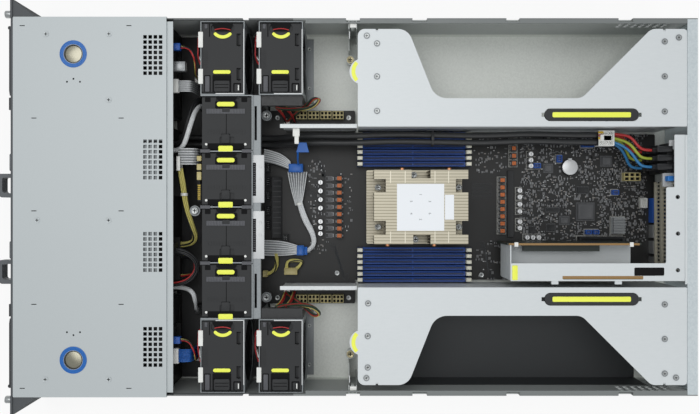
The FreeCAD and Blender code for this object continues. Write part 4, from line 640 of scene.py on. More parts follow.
for start, end in ((12.6, 26.8), (52.6, 66.6)):
    side_parts += [side_mark(x0, x1, 16.4, y1, painted_shade_black)
                   for x0, x1, y1 in ((start, end, 17.6), (start, start + 1.1, 21.4), (end - 1.1, end, 21.4))]
side_parts += [side_mark(*mark) for mark in (
    (61.4, 80.4, -21.4, -20.2, painted_shade_black), (61.4, 80.4, -15.0, -13.8, painted_shade_black),
    (61.0, 62.2, -20.6, -14.4, painted_shade_black), (62.2, 80.2, -20.2, -15.0, ribbed_resin, 0.5),
    (70.0, 80.5, 12.4, 21.8, painted_shade_black), (71.6, 80.2, 14.0, 20.4, fan_resin, 0.3),
    (72.6, 78.6, 18.0, 19.2, white_nylon, 0.3, 0.3),
    (1.2, 16.4, -15.6, -14.4, painted_shade_black), (1.6, 6.8, -20.8, -17.6, ribbed_resin, 0.3))]
side_ribs = repeat(slab(0.6, 5.6, 0.0, 0.35),
                   [(side_low.x + 33.0 + 2.4 * i, side_mid - 20.0, side_top) for i in range(9)])
side_parts.append(paint(side_ribs, fan_resin))
for start, end in ((10.8, 28.9), (53.8, 71.2)):
    side_parts.append(eased((side_low.x + start, side_mid - 28.0, side_top + 0.02),
                            (side_low.x + end, side_mid - 22.6, side_top + 1.3),
                            white_nylon, 0.3, inset(0.8, 0.3), rounds=1))
lead_red = surface("red_fan_lead", "#a5272a", "#c1363a", 0.0, 0.42, 0.8)
lead_black = surface("black_fan_lead", "#1b1c1d", "#28292a", 0.0, 0.42, 0.8)
for shift, finish, drop in ((0.0, lead_red, 0.0), (1.8, lead_black, 3.0),
                            (3.6, white_nylon, 6.0), (-1.6, lead_red, 4.5)):
    near_x, far_x = side_low.x + 12.0 + shift, side_low.x + 46.0 - shift
    hanging = [(near_x, -2.6, -2.0), (near_x + 4.0, -6.0 - drop * 0.4, -9.0 - drop),
               (near_x + 16.0, -8.4, -17.0 - drop), (far_x - 7.0, -7.6, -14.0 - drop), (far_x, -2.6, -3.0)]
    side_parts.append(strands([[(x, side_low.y + y, side_top + z) for x, y, z in hanging]], 1.7, finish))
crown("side", side_parts)

# Centre fan modules
# Four smaller boxes of the same nylon in one row. Each has a yellow grip bar in a dark finger recess, a
# ribbed grey band, a moulded nub, two white push pins and a yellow tab that laps over the divider.
mid_low, mid_high = corners_of("centre_fan_1")
mid_top = mid_high.z
mid_y = (mid_low.y + mid_high.y) / 2


def mid_mark(x0, x1, y0, y1, finish, height=0.12, lift=0.0, ease=0.3):
    """A low moulded mark on the first centre module, by its offset from the module's outer edge."""
    return pill((mid_low.x + x0, mid_y + y0, mid_top - 0.02 + lift),
                (mid_low.x + x1, mid_y + y1, mid_top + height + lift), finish, ease)


# The finger recess, the corner pockets and the slots are near-black marks of painted shade on the flat top.
mid_parts = [tapered((mid_low.x + 0.6, mid_y - 12.6, mid_top - 0.02),
                     (mid_low.x + 4.6, mid_y + 12.0, mid_top + 0.12), painted_shade_black, 0.8)]
mid_parts += [mid_mark(*mark) for mark in (
    (5.4, 14.2, -13.4, 12.2, painted_shade_black, 0.1), (6.4, 11.6, -11.3, 9.4, neon_resin, 0.6, 0, 0.95),
    (1.2, 6.6, -25.2, -18.6, painted_shade_black), (1.2, 6.6, 17.2, 24.0, painted_shade_black),
    (14.4, 20.2, -23.6, 21.0, ribbed_resin, 0.35), (13.6, 18.2, -4.8, 4.0, fan_resin, 0.9),
    (18.2, 44.0, -0.7, 0.1, painted_shade_black, 0.06), (44.0, 54.4, -5.8, 3.8, fan_resin, 0.9),
    (43.6, 44.4, -6.2, 4.2, painted_shade_black, 0.3), (54.6, 61.4, -22.0, 20.6, painted_shade_black, 0.06),
    (57.6, 64.2, -9.4, 7.4, neon_resin, 0.9, 0.5, 0.4))]
rib_step = 3.3
mid_ribs = repeat(soften(slab(5.8, 1.8, 0.0, 0.5), 0.12, 1),
                  [(mid_low.x + 17.3, mid_y - 22.4 + rib_step * i, mid_top + 0.3)
                   for i in range(14) if i not in (6, 7)])
mid_parts.append(paint(mid_ribs, ribbed_resin))
lower_ribs = repeat(slab(4.8, 0.9, 0.0, 0.3),
                    [(mid_low.x + 41.0, mid_y - 21.6 + rib_step * i, mid_top) for i in range(14)])
mid_parts.append(paint(lower_ribs, fan_resin))
for pin_y in (-23.6, 22.0):
    pin = start_rod((mid_low.x + 55.8, mid_y + pin_y, mid_top + 0.5), 1.5, 1.0, 16)
    mid_parts.append(paint(soften(pin, 0.3), white_nylon))
crown("centre", mid_parts)

# Fan wall brackets, screw tabs and cable lips
# Small zinc-plated brackets riveted on the rail behind the centre fans, with a dark slot and two dimples
# each, and round tabs with a captive screw that tie the fan cage to the floor.
bracket_zinc = surface("zinc_plated_bracket", "#c3c6c6", "#cecfcf", 0.2, 0.44, 2.0, swing=0.05)
# Painted shade: a darker copy of the zinc for the screw tabs low in the cage, the countersinks round the cage
# screws and the fan cage feet in the fans' shadow.
zinc_shade_paint = surface("zinc_tab_with_painted_shade", "#838789", "#8f9395", 0.3, 0.46, 2.0, swing=0.05)
rail_top = 80.9
row_step = corners_of("side_fan_2")[0].y - side_low.y
wall_parts = []
for x0, x1, y0, y1 in ((132.0, 207.0, 24.2, 25.3), (131.2, 132.4, -8.0, 25.0)):
    for row_y in (side_mid, side_mid + row_step):
        for side in (-1, 1):
            low, high = on_side(side, (x0, row_y + y0, side_top - 0.1), (x1, row_y + y1, side_top + 0.3))
            wall_parts.append(eased(low, high, bracket_zinc, 0.08, rounds=1))
for x in (-65.2, 0.0, 65.2):
    for y0, y1 in ((mid_y - 30.5, mid_y - 19.0), (mid_y + 18.0, mid_y + 29.0)):
        wall_parts.append(eased((x - 1.9, y0, mid_top + 1.15), (x + 1.9, y1, mid_top + 1.6),
                                ribbed_resin, 0.1, inset(0.7, 0.15), rounds=1))
for low_x, high_x in ((-60.6, -5.0), (4.7, 60.4)):
    wall_parts.append(eased((low_x, deep(279.6), rail_top), (high_x, deep(293.6), rail_top + 0.9),
                            bracket_zinc, 0.25))
    slot_start, slot_end = low_x + 9.0, high_x - 8.0
    # The slot is a near-black mark of painted shade.
    wall_parts.append(pill((slot_start, deep(280.2), rail_top + 0.88),
                           (slot_end, deep(284.0), rail_top + 1.0), painted_shade_black, 0.2))
    teeth = repeat(slab(1.0, 2.4, 0.0, 0.2),
                   [(slot_start + 2.0 + 2.6 * i, deep(282.1), rail_top + 1.0) for i in range(14)])
    wall_parts.append(paint(teeth, ribbed_resin))
    for dimple_x in (low_x + 13.6, low_x + 28.4):
        wall_parts.append(move(ring(1.5, 0.7, 0.3, rail_top + 0.9, bracket_zinc), dimple_x, deep(289.2)))
settle(wall_parts, "fan_rail_brackets")
stem_foot = 9.0
tab_places = {"front": spot(195.0, 210.8, 60.0), "left": spot(266.6, 115.6, 40.0),
              "right": spot(266.5, 297.3, 40.0)}
for name, place in tab_places.items():
    # The tab disc is darker zinc as painted shade.
    disc = start_rod(place, 6.4, 1.2, 28)
    work(disc, facing_up, inset(1.0), inset(0.3, 0.2))
    head = move(screw_head(4.0, 2.2, nickel), place.x, place.y, place.z + 0.6)
    stem = start_rod((place.x, place.y, (place.z + stem_foot) / 2), 3.0, place.z - stem_foot, 16)
    work(stem, facing_up, inset(0.4))
    settle([paint(soften(disc, 0.3), zinc_shade_paint), head, paint(stem, nickel)],
           "cage_screw_" + name)

# Motherboard and backplanes
# Black solder mask over copper. Bundles of traces run slantwise between the parts and stand up faintly
# under the mask; pads and outlines are printed in white.
board_mask = surface("black_solder_mask", "#1b1b1b", "#252524", 0.0, 0.46, 3.0, 0.02,
                     settings={"Specular IOR Level": 0.35})
dress(board_mask, "motherboard", "backplanes")
trace_mask = surface("masked_copper_trace", "#303234", "#3a3c3e", 0.0, 0.38, 1.5)
print_white = surface("white_board_print", "#8f8f8b", "#a3a39e", 0.0, 0.6, 1.0)
board_top = corners_of("motherboard")[1].z
trace_step, trace_end = 1.7, 6.0
trace_routes = []
for (x0, y0), (x1, y1), count in (((-34, -66), (-18, -30), 7), ((-62, -40), (-38, -18), 6),
                                  ((-86, -66), (-66, -92), 5), ((46, -20), (84, 4), 6),
                                  ((-30, 160), (-30, 186), 12), ((8, 226), (8, 250), 9),
                                  ((-84, 226), (-56, 262), 7), ((44, 170), (80, 188), 7),
                                  ((-20, 246), (14, 290), 6)):
    for aside in (trace_step * i for i in range(count)):
        trace_routes.append([(x0 + aside, y0, board_top), (x0 + aside, y0 + trace_end, board_top),
                             (x1 + aside, y1 - trace_end, board_top), (x1 + aside, y1, board_top)])
traces = strands(trace_routes, 0.5, trace_mask, smooth=False)
settle([traces], "board_traces")

# Memory slots
# Twelve sockets of navy resin soldered in two groups beside the processor, each with a contact groove
# along its top and an off-white latch at either end.
slot_blue = surface("navy_slot_resin", "#12387c", "#174592", 0.0, 0.42, 1.6)
contact_blue = surface("navy_slot_groove", "#0f1e42", "#15284f", 0.0, 0.5, 1.0)
contact_row = surface("slot_contact_row", "#2a4f96", "#345ca6", 0.0, 0.4, 1.0)
latch_white = surface("off_white_latch_resin", "#dcdac8", "#e6e4d6", 0.0, 0.45, 1.2)
slot_places = [((low.x + high.x) / 2, (low.y + high.y) / 2) for low, high in islands("dimm_slots")]
slot_half = (corners_of("dimm_slots")[1].y - corners_of("dimm_slots")[0].y) / 2
slot_foot, slot_crest, latch_long, socket_wide = 9.0, 21.0, 7.0, 6.2
socket = slab(socket_wide, 2 * (slot_half - latch_long), slot_foot, slot_crest)
work(socket, facing_up, inset(0.7), inset(0.25, 0.5), inset(1.0, 0.0), inset(0.1, 2.6))
paint(soften(socket, 0.25, 1), slot_blue)
groove = paint(slab(1.7, 2 * (slot_half - 9.0), 19.9, 20.3), contact_blue)
work(groove, facing_up, inset(0.2, 0.1))
key_block = eased((-1.2, -2.6, 19.0), (1.2, -0.6, slot_crest), slot_blue, 0.2, rounds=1)
ticks = repeat(slab(0.6, 0.6, 0.0, 0.12),
               [(side * 1.6, -slot_half + 12.0 + 3.0 * i, 20.5) for i in range(40) for side in (-1, 1)])
slot_parts = [socket, groove, key_block, paint(ticks, contact_row)]
for end in (-1, 1):
    near, far = sorted((end * (slot_half - latch_long), end * slot_half))
    post = eased((-socket_wide / 2, near, slot_foot), (socket_wide / 2, far, 19.5),
                 contact_blue, 0.3, rounds=1)
    latch = start_box((-2.2, near + 0.3, 19.5), (2.2, far - 0.3, 28.4))
    work(latch, facing_up, inset(0.6, 0.0), push(0, 0, 0.6))
    slot_parts += [post, paint(soften(latch, 0.4, 1), latch_white)]
one_slot = join(slot_parts)
slots = repeat(one_slot, [(x, y, 0.0) for x, y in slot_places])
settle([slots], "memory_slots", stands_for=("dimm_slots",))

# Processor heatsink
# A block of nickel-plated folded fins on a soldered base, champagne in tone, with copper pipe ends at the
# sides. Two bare paper labels lie on the fins; the larger one carries plain screw-order numbers.
fin_nickel = surface("nickel_plated_fins", "#b6af9b", "#c6bfab", 0.35, 0.42, 3.0, stretch=(4, 0.3, 1))
dress(fin_nickel, "cpu_heatsink")
paper = surface("white_paper_label", "#eef2f6", "#f4f6f8", 0.0, 0.7, 0.8, 0.01)
print_grey = surface("grey_label_print", "#5b5f63", "#6b6f73", 0.0, 0.7, 1.0)
copper = surface("bare_copper_pipe", "#c98a62", "#d99b72", 0.85, 0.34, 1.5)
sink_low, sink_high = corners_of("cpu_heatsink")
sink_top = sink_high.z


def on_sink(u, v):
    """X and Y of a pixel of the photograph on top of the heatsink."""
    return spot(u, v, sink_top).xy


label_px = ((397.0, 183.8), (444.2, 230.8))
small_label_px = ((445.0, 194.8), (454.0, 219.6))
digit_px = (("1", 420.5, 194.6), ("5", 411.2, 201.4), ("3", 429.8, 201.4), ("4", 411.2, 213.6),
            ("6", 429.8, 213.6), ("2", 420.5, 219.4))
digit_high, digit_thick = 0.0042, 0.00004
sink_parts = []
for near, far in (label_px, small_label_px):
    label = start_box((*on_sink(*near), sink_top - 0.05), (*on_sink(*far), sink_top + 0.18))
    work(label, facing_up, inset(0.5), inset(0.1, -0.02))
    sink_parts.append(paint(label, paper))
for digit, u, v in digit_px:
    bpy.ops.object.select_all(action="DESELECT")
    bpy.ops.object.text_add()
    text = bpy.context.object.data
    text.body = digit
    text.size = digit_high
    text.extrude = digit_thick
    text.align_x = "CENTER"
    text.align_y = "CENTER"
    bpy.ops.object.convert(target="MESH")
    sink_parts.append(paint(move(bpy.context.object, *on_sink(u, v), sink_top + 0.2), print_grey))
fin_edge = surface("bright_fin_edge", "#d8d2bf", "#e4decc", 0.3, 0.4, 2.0)
cross_us = (390.5, 405.2, 435.0, 448.6)
for u in cross_us:
    cross_y = on_sink(u, 207)[1]
    for low_x, high_x in ((sink_low.x + 3.4, on_sink(0, 183.0)[0]),
                          (on_sink(0, 231.6)[0], sink_high.x - 3.4)):
        sink_parts.append(eased((low_x, cross_y - 0.55, sink_top - 0.1),
                                (high_x, cross_y + 0.55, sink_top + 0.12), fin_edge, 0.08, rounds=1))
for u, v in ((387.6, 244.6), (434.4, 244.6), (449.5, 170.4), (402.3, 170.4)):
    x, y = on_sink(u, v)
    x = math.copysign(sink_high.x - 1.6, x)
    pipe = start_rod((x, y, sink_top - 3.4), 2.4, 4.4, 20, "X")
    work(pipe, facing("X"), inset(0.5, 0.3))
    sink_parts.append(paint(soften(pipe, 0.3), copper))
settle(sink_parts, "heatsink_trim")
# Painted shade: a darker stripe on each fin pitch stands for the shade in the gaps between the folded fins.
fin_pitch, fin_gap_shade_share = 3.6, 0.24
tree = fin_nickel.node_tree
place = add_node(tree, "TexCoord")
axes = add_node(tree, "SeparateXYZ", {}, {0: place.outputs["Object"]})
count = add_node(tree, "Math", {"operation": "MULTIPLY", 1: 1000.0 / fin_pitch}, {0: axes.outputs[0]})
phase = add_node(tree, "Math", {"operation": "FRACT"}, {0: count.outputs[0]})
fold = add_node(tree, "Math", {"operation": "LESS_THAN", 1: fin_gap_shade_share}, {0: phase.outputs[0]})
overlay(fin_nickel, fold.outputs[0], "#8d8672")

# Board components
# Moulded chokes with orange cores, can capacitors, epoxy chips with fine legs, beige power sockets, blue
# and white headers, the coin cell in its ring, a small finned sink and the rear ports.
component = surface("black_chip_epoxy", "#222324", "#2c2d2e", 0.0, 0.5, 0.8,
                    settings={"Specular IOR Level": 0.3})
grey_epoxy = surface("grey_chip_epoxy", "#48494b", "#535456", 0.0, 0.5, 0.8)
solder_grey = surface("dull_solder_row", "#77787a", "#8b8c8d", 0.3, 0.45, 0.6)
choke_case = surface("grey_choke_ferrite", "#3c3d3f", "#48494b", 0.2, 0.5, 0.8)
choke_core = surface("orange_choke_core", "#a04a14", "#c46a26", 0.0, 0.45, 1.0)
core_brown = surface("brown_choke_well", "#3a2012", "#4c2b18", 0.0, 0.6, 1.0)
tin = surface("bright_tin_lead", "#b4b6b6", "#c8caca", 0.8, 0.34, 0.8)
can_alloy = surface("aluminium_can", "#c9cacb", "#d9dada", 0.5, 0.36, 1.5)
beige_nylon = surface("beige_socket_nylon", "#b1a46e", "#c0b47e", 0.0, 0.45, 1.2)
header_blue = surface("blue_header_resin", "#1f4fa0", "#285cb2", 0.0, 0.42, 1.0)
grey_alloy = surface("anodised_grey_alloy", "#9b9ea0", "#adb0b1", 0.6, 0.4, 1.5)


def choke(width, length, height):
    """A power choke: a ferrite body with an orange core in its well, on two solder feet."""
    body = slab(width, length - 2.4, 0.3, height)
    work(body, facing_up, inset(0.7, 0.0), inset(0.2, 0.7))
    well = slab(width - 1.6, length - 2.8, height - 0.9, height - 0.45)
    work(well, facing_up, inset(0.3, 0.1))
    core = start_box((-width / 2 + 1.2, -length / 2 + 1.9, height - 0.6),
                     (width / 2 - 1.2, length / 2 - 2.1, height - 0.3))
    work(core, facing_up, inset(0.9, -0.2), inset(0.6, 0.25))
    legs = []
    for side, reach in ((-1, 1.6), (1, 2.2)):
        leg = soften(slab(width - 2 * reach, 1.4, 0.0, height * 0.6), 0.2, 1)
        legs.append(paint(move(leg, 0, side * (length / 2 - 0.7)), solder_grey))
    return join([paint(soften(body, 0.35, 1), choke_case), paint(well, core_brown),
                 paint(core, choke_core)] + legs)


def can_capacitor(radius, height):
    """An upright can with a marked top on a square base."""
    can = start_rod((0, 0, height / 2 + 0.5), radius - 0.3, height - 1.0, 24)
    work(can, facing_up, inset(0.4, 0.25), inset(1.4, -0.15))
    base = slab(2 * radius, 2 * radius, 0.0, 1.0)
    work(base, facing_up, inset(0.3, -0.2))
    mark = slab(1.2 * radius, 0.5, height - 0.2, height - 0.02)
    return join([paint(soften(can, 0.3, 2), can_alloy), paint(base, component), paint(mark, choke_case)])


def chip(width, length, height, body_finish):
    """A flat package on a row of legs: the body is inset from a solder rim."""
    rim = 2.4 if min(width, length) > 11.0 else 1.0
    leg_step = 1.3
    feet = slab(width, length, 0.0, 0.3)
    work(feet, facing_up, inset(rim * 0.7, 0.1))
    body = slab(width - 2 * rim, length - 2 * rim, 0.15, height)
    work(body, facing_up, inset(min(width, length) * 0.12, -0.06), inset(0.15, 0.05))
    leg = slab(0.4, 0.4, 0.0, height * 0.4)
    work(leg, facing_up, inset(0.08))
    places = [(side * (width / 2 - rim * 0.4), -length / 2 + 1.2 + leg_step * i, 0.0) for side in (-1, 1)
              for i in range(int((length - 2.0) / leg_step) + 1)]
    return join([paint(feet, choke_case), paint(soften(body, 0.15, 1), body_finish),
                 paint(repeat(leg, places), solder_grey)])


def socket_grid(width, length, height, columns, rows, finish, wall=0.7):
    """A moulded socket: one cell with a deep mouth, repeated in columns along X and rows along Y."""
    cell_x, cell_y = width / columns, length / rows
    cell = slab(cell_x, cell_y, 0.0, height)
    work(cell, facing_up, inset(wall), inset(0.05, 4.0))
    # A near-black plate low in each mouth is painted shade.
    inside = slab(cell_x - 2 * wall, cell_y - 2 * wall, height - 3.6, height - 3.4)
    work(inside, facing_up, inset(0.3, 0.05))
    both = join([paint(cell, finish), paint(inside, painted_shade_black)])
    return repeat(both, [((c + 0.5) * cell_x - width / 2, (r + 0.5) * cell_y - length / 2, 0.0)
                         for c in range(columns) for r in range(rows)])


def header(width, length, height, finish, pin_finish=None):
    """A box header: an open shell with two rows of pins."""
    pin_step, wall = 2.6, 1.2
    shell = slab(width, length, 0.0, height)
    work(shell, facing_up, inset(0.8), inset(0.05, height * 0.7))
    pin = slab(0.6, 0.6, 0.0, height * 0.75)
    work(pin, facing_up, inset(0.12, -0.15))
    pairs = max(2, int(max(width, length) / pin_step))
    across, along = (2, pairs) if length > width else (pairs, 2)
    pins = repeat(pin, [((c + 0.5) * (width - 2 * wall) / across - width / 2 + wall,
                         (r + 0.5) * (length - 2 * wall) / along - length / 2 + wall, height * 0.2)
                        for c in range(across) for r in range(along)])
    return join([paint(soften(shell, 0.2, 1), finish), paint(pins, pin_finish or tin)])


def plain_port(width, length, height, shell_finish, mouth_finish):
    """A rear port: a shell open to the rear with a tongue inside."""
    shell = slab(width, length, 0.0, height)
    work(shell, facing("Y", 1), inset(1.2), inset(0.1, 9.0))
    work(shell, facing_up, inset(1.4), inset(0.3, 0.25))
    tongue = start_box((-width / 2 + 3.0, -length / 2 + 4.0, height * 0.4),
                       (width / 2 - 3.0, length / 2 - 3.0, height * 0.55))
    work(tongue, facing("Y", 1), inset(0.4, -0.4))
    return join([paint(soften(shell, 0.25, 1), shell_finish), paint(tongue, mouth_finish)])


board_boxes = islands("board_components")
groups = {}
for low, high in board_boxes:
    size = tuple(round(c, 0) for c in high - low)
    groups.setdefault(size, []).append(((low.x + high.x) / 2, (low.y + high.y) / 2, low.z, tuple(high - low)))
component_parts = []
choke_spots = []
for size, places in sorted(groups.items()):
    width, length, height = places[0][3]
    spots = [place[:3] for place in places]
    if size[2] >= 7 and size[0] == 7 and size[1] in (9, 10):
        prototype = choke(width, length, height)
        choke_spots += spots
    elif size == (6, 6, 8):
        prototype = can_capacitor(width / 2, height)
    elif size[0] == 64:
        prototype = slab(width, length, 0, height)
        work(prototype, facing_up, inset(9.0), inset(0.1, height - 1.0))
        paint(soften(prototype, 0.4, 1), tin)
    elif size[0] == 84:
        prototype = slab(width, length, 0, height)
        work(prototype, facing_up, inset(0.8, 0.2))
        paint(soften(prototype, 0.3, 1), component)
    elif size[2] == 12 and size[1] == 14 or size[0] == 10 and size[1] == 20:
        prototype = socket_grid(width, length, height, 2, 3, beige_nylon)
    elif size[0] == 12 and size[1] == 6:
        prototype = header(width, length, height, component)
    elif size in ((21, 16, 9), (21, 17, 9)):
        base = slab(width, length, 0, 3.0)
        work(base, facing_up, inset(0.6, 0.1))
        fin = soften(slab(1.0, length - 1.2, 2.9, height), 0.15, 1)
        fins = repeat(fin, [(-width / 2 + 1.4 + 2.0 * i, 0, 0) for i in range(10)])
        prototype = join([paint(base, grey_alloy), paint(fins, grey_alloy)])
    elif size[1] == 57:
        prototype = slab(width, length, 0, height)
        work(prototype, facing_up, inset(1.4), inset(0.3, 0.6), inset(1.2), inset(0.1, 5.0))
        paint(soften(prototype, 0.3, 1), component)
    elif size[0] == 23 and size[1] == 20:
        holder = start_rod((0, 0, height * 0.3), 10.6, height * 0.6, 40)
        work(holder, facing_up, inset(0.7, 0.4))
        cell = start_rod((0, 0, height * 0.66), 9.7, height * 0.66, 48)
        work(cell, facing_up, inset(0.7, 0.12), inset(0.2, -0.08))
        clip = eased((-11.4, -2.4, 0), (-8.6, 2.4, height + 0.3), tin, 0.4, rounds=1)
        spots = [(x + 1.5, y, z) for x, y, z in spots]
        prototype = join([paint(holder, component), paint(soften(cell, 0.4), can_alloy), clip])
    elif length > 24.5 and size[1] == 25:
        finish, inner = (header_blue, white_nylon) if size[0] == 31 else (tin, component)
        prototype = plain_port(width, length, height, finish, inner)
    elif size[0] == 12 and size[1] == 7:
        prototype = header(width, length, height, white_nylon)
    elif size[0] == 7 and size[1] == 15:
        prototype = header(width, length, height, header_blue, print_white)
    elif size[2] >= 7:
        prototype = header(width, length, height, header_blue if size[2] == 7 else component)
    else:
        prototype = chip(width, length, height, grey_epoxy if width > 11.0 else component)
    component_parts.append(repeat(prototype, spots))
driver = join([paint(slab(4.4, 9.2, 0.0, 0.9), solder_grey), paint(slab(3.4, 6.4, 0.0, 1.6), grey_epoxy)])
work(driver, facing_up, inset(0.5, -0.15))
component_parts.append(repeat(driver, [(x, y - 11.6, board_top) for x, y, _ in choke_spots if y < 0]))
settle(component_parts, "board_parts", stands_for=("board_components",))

# Board-edge sockets in front of the fan wall
# A long black memory-style socket with a ladder of ribs on the board, and the beige header strip with
# gilt pins on the front of the fan cage.
gilt = surface("gilt_pin", "#b39a3c", "#c9b052", 0.7, 0.34, 0.8)
edge_parts = [eased((-37.8, -93.2, board_top), (39.6, -80.0, 12.6), component, 0.3,
                    inset(0.6, -0.2), inset(0.5, 0.6), rounds=1)]
rib = start_box((-0.4, -91.6, 12.0), (0.4, -81.6, 12.8))
edge_parts.append(paint(repeat(rib, [(-33.0 + 6.6 * i, 0, 0) for i in range(11)]), choke_case))
for low_x, high_x in ((-59.7, -53.9), (-50.3, -43.3), (-41.0, -31.6)):
    edge_parts.append(eased((low_x, -173.2, 74.0), (high_x, -168.0, 80.0), beige_nylon, 0.3,
                            inset(0.7, 0.5), rounds=1))
edge_parts.append(eased((-27.0, -172.6, 74.0), (-7.0, -168.0, 78.6), component, 0.3,
                        inset(0.5, 0.2), rounds=1))
pin = start_box((-0.5, -172.4, 78.4), (0.5, -169.0, 79.6))
work(pin, facing_up, inset(0.15, -0.1))
edge_parts.append(paint(repeat(pin, [(-25.4 + 2.3 * i, 0, 0) for i in range(8)]), gilt))
settle(edge_parts, "fan_wall_sockets")

# Small surface-mounted parts and board print
# Hundreds of soldered chip resistors and capacitors, tan or dark bodies with bright end caps, and the
# white printed outlines round sockets.
random.seed(7)
small_tan = surface("tan_ceramic_body", "#77706a", "#8a837a", 0.0, 0.5, 0.5)
small_grey = surface("grey_ceramic_body", "#58595a", "#68696a", 0.0, 0.5, 0.5)


def little_part(body_finish, width, length, height):
    """A chip resistor or capacitor with a solder cap at either end."""
    body = slab(width, 0.6 * length, 0, height)
    work(body, facing_up, inset(0.08, -0.04))
    caps = [paint(move(slab(width, 0.2 * length, 0, height), 0, end * 0.4 * length), solder_grey)
            for end in (-1, 1)]
    return join([paint(body, body_finish)] + caps)


def free_of_parts(x, y, gap):
    """Whether a place on the board keeps a gap from every part but the widest."""
    return all(x < low.x - gap or x > high.x + gap or y < low.y - gap or y > high.y + gap
               for low, high in board_boxes if high.x - low.x < 80)


kinds = [(little_part(small_tan, 1.3, 2.4, 0.9), []), (little_part(component, 1.6, 2.8, 0.7), []),
         (little_part(small_grey, 2.6, 1.5, 0.8), []), (little_part(small_grey, 1.4, 2.6, 0.8), []),
         (little_part(tin, 0.9, 1.8, 0.5), []), (little_part(small_grey, 3.4, 2.4, 1.2), []),
         (little_part(component, 2.6, 4.4, 1.1), []), (little_part(small_tan, 2.4, 1.3, 0.9), [])]
for area_low, area_high, amount in (((-92, 222), (44, 380), 1700), ((-92, 160), (-44, 206), 60),
                                    ((-60, -46), (60, -26), 110), ((-46, -24), (46, 8), 60),
                                    ((44, 166), (92, 250), 90), ((-118, 226), (-94, 380), 70)):
    for _ in range(amount):
        x = round(random.uniform(area_low[0], area_high[0]) / 1.3) * 1.3
        y = round(random.uniform(area_low[1], area_high[1]) / 1.9) * 1.9
        if free_of_parts(x, y, 1.6):
            random.choice(kinds)[1].append((x, y, board_top))
scatter = [repeat(piece, places) for piece, places in kinds]
settle(scatter, "small_board_parts")
outlines = []
outline_gap = 1.2
for low, high in board_boxes:
    if 5.0 < high.x - low.x < 30 and high.z - low.z > 6.5 and 200 < high.y < 400:
        print_line = start_box((low.x - outline_gap, low.y - outline_gap, board_top),
                               (high.x + outline_gap, high.y + outline_gap, board_top + 0.06))
        work(print_line, facing_up, inset(0.5), ("delete", {"type": "FACE"}))
        outlines.append(paint(print_line, print_white))
settle(outlines, "printed_outlines")

# Accelerator cages with their straps
# Deep cages of zinc-plated sheet that lift out of the side lanes. Countersunk cross screws hold the cards,
# a bright yellow grip band marks the front lip, and a black strap with a yellow stripe lies in each slot.
handle_resin = surface("black_strap_resin", "#1d1e20", "#28292b", 0.0, 0.5, 0.8, 0.03)
dress(handle_resin, "cage_handle_left", "cage_handle_right")
grip_y = corners_of("gpu_cage_right")[0].y + 19.9
for side, label in sides:
    strap_low, strap_high = corners_of("cage_handle_" + label)
    strap_x = side * 107.0
    stripe = pill((strap_x - 3.0, strap_low.y + 9.0, strap_high.z - 0.3),
                  (strap_x + 3.0, strap_high.y - 9.0, strap_high.z + 0.25), neon_resin, 0.5)
    settle([stripe], "strap_stripe_" + label, "cage_handle_" + label)
    band = arc_band((side * 157.3, grip_y), 15.4, 4.4, plate_top - 0.2, plate_top + 0.25, -90.0, 84.0)
    settle([paint(band, neon_resin)], "cage_grip_" + label, "gpu_cage_" + label)

front_row, rear_row = deep(424.9), deep(758.6)
cage_screws = {"left": ((198.7, deep(413.1)), (189.8, front_row), (151.4, front_row), (111.4, front_row),
                        (192.0, rear_row), (196.6, rear_row + 16.4), (151.5, rear_row), (110.8, rear_row)),
               "right": ((111.8, deep(414.5)), (149.8, deep(414.1)), (186.2, deep(414.1)),
                         (198.4, deep(412.6)), (113.0, rear_row), (153.1, rear_row), (193.2, rear_row),
                         (197.9, rear_row + 13.1))}
# The countersink ring is darker zinc as painted shade.
countersink = start_rod((0, 0, 0.1), 3.6, 0.2, 28)
work(countersink, facing_up, inset(0.5), inset(0.1, 0.08))
one_screw = join([paint(countersink, zinc_shade_paint), screw_head(2.5, 0.42, nickel)])
for side, label in sides:
    heads = repeat(twin(one_screw), [(side * x, y, cage_top - 0.02) for x, y in cage_screws[label]])
    settle([heads], "cage_screws_" + label, "gpu_cage_" + label)
bpy.data.objects.remove(one_screw, do_unlink=True)

# Cage guides and floor posts
# Folded guides on the chassis walls with white latch tongues, floor posts with a slotted brass screw, and
# the riveted foot of each fan cage.
brass = surface("brass_screw", "#b7ac86", "#c9be98", 0.4, 0.38, 1.0)
guide_parts = []
guide_top = corners_of("cage_guides")[1].z
for side in (-1, 1):
    guide_parts.append(eased(*on_side(side, (208.7, 5.6, guide_top - 0.1), (213.9, 13.4, guide_top + 1.6)),
                             white_nylon, 0.4, inset(1.0, -0.2)))
    guide_parts.append(eased(*on_side(side, (196.0, 4.6, guide_top - 0.1), (204.6, 5.8, guide_top + 0.8)),
                             bracket_zinc, 0.2, inset(0.3, -0.1), rounds=1))
    guide_parts.append(move(screw_head(4.6, 1.6, brass), side * 184.0, 6.2, 20.2))
    # The cage foot is darker zinc as painted shade from the fans' shadow.
    guide_parts.append(eased(*on_side(side, (131.5, -49.0, 1.2), (214.0, -40.4, 2.5)),
                             zinc_shade_paint, 0.2, inset(0.5, -0.1), rounds=1))
    guide_parts.append(repeat(screw_head(2.3, 1.4, nickel), [(side * x, -46.0, 2.5) for x in (151.2, 201.0)]))
settle(guide_parts, "guide_and_foot_details")

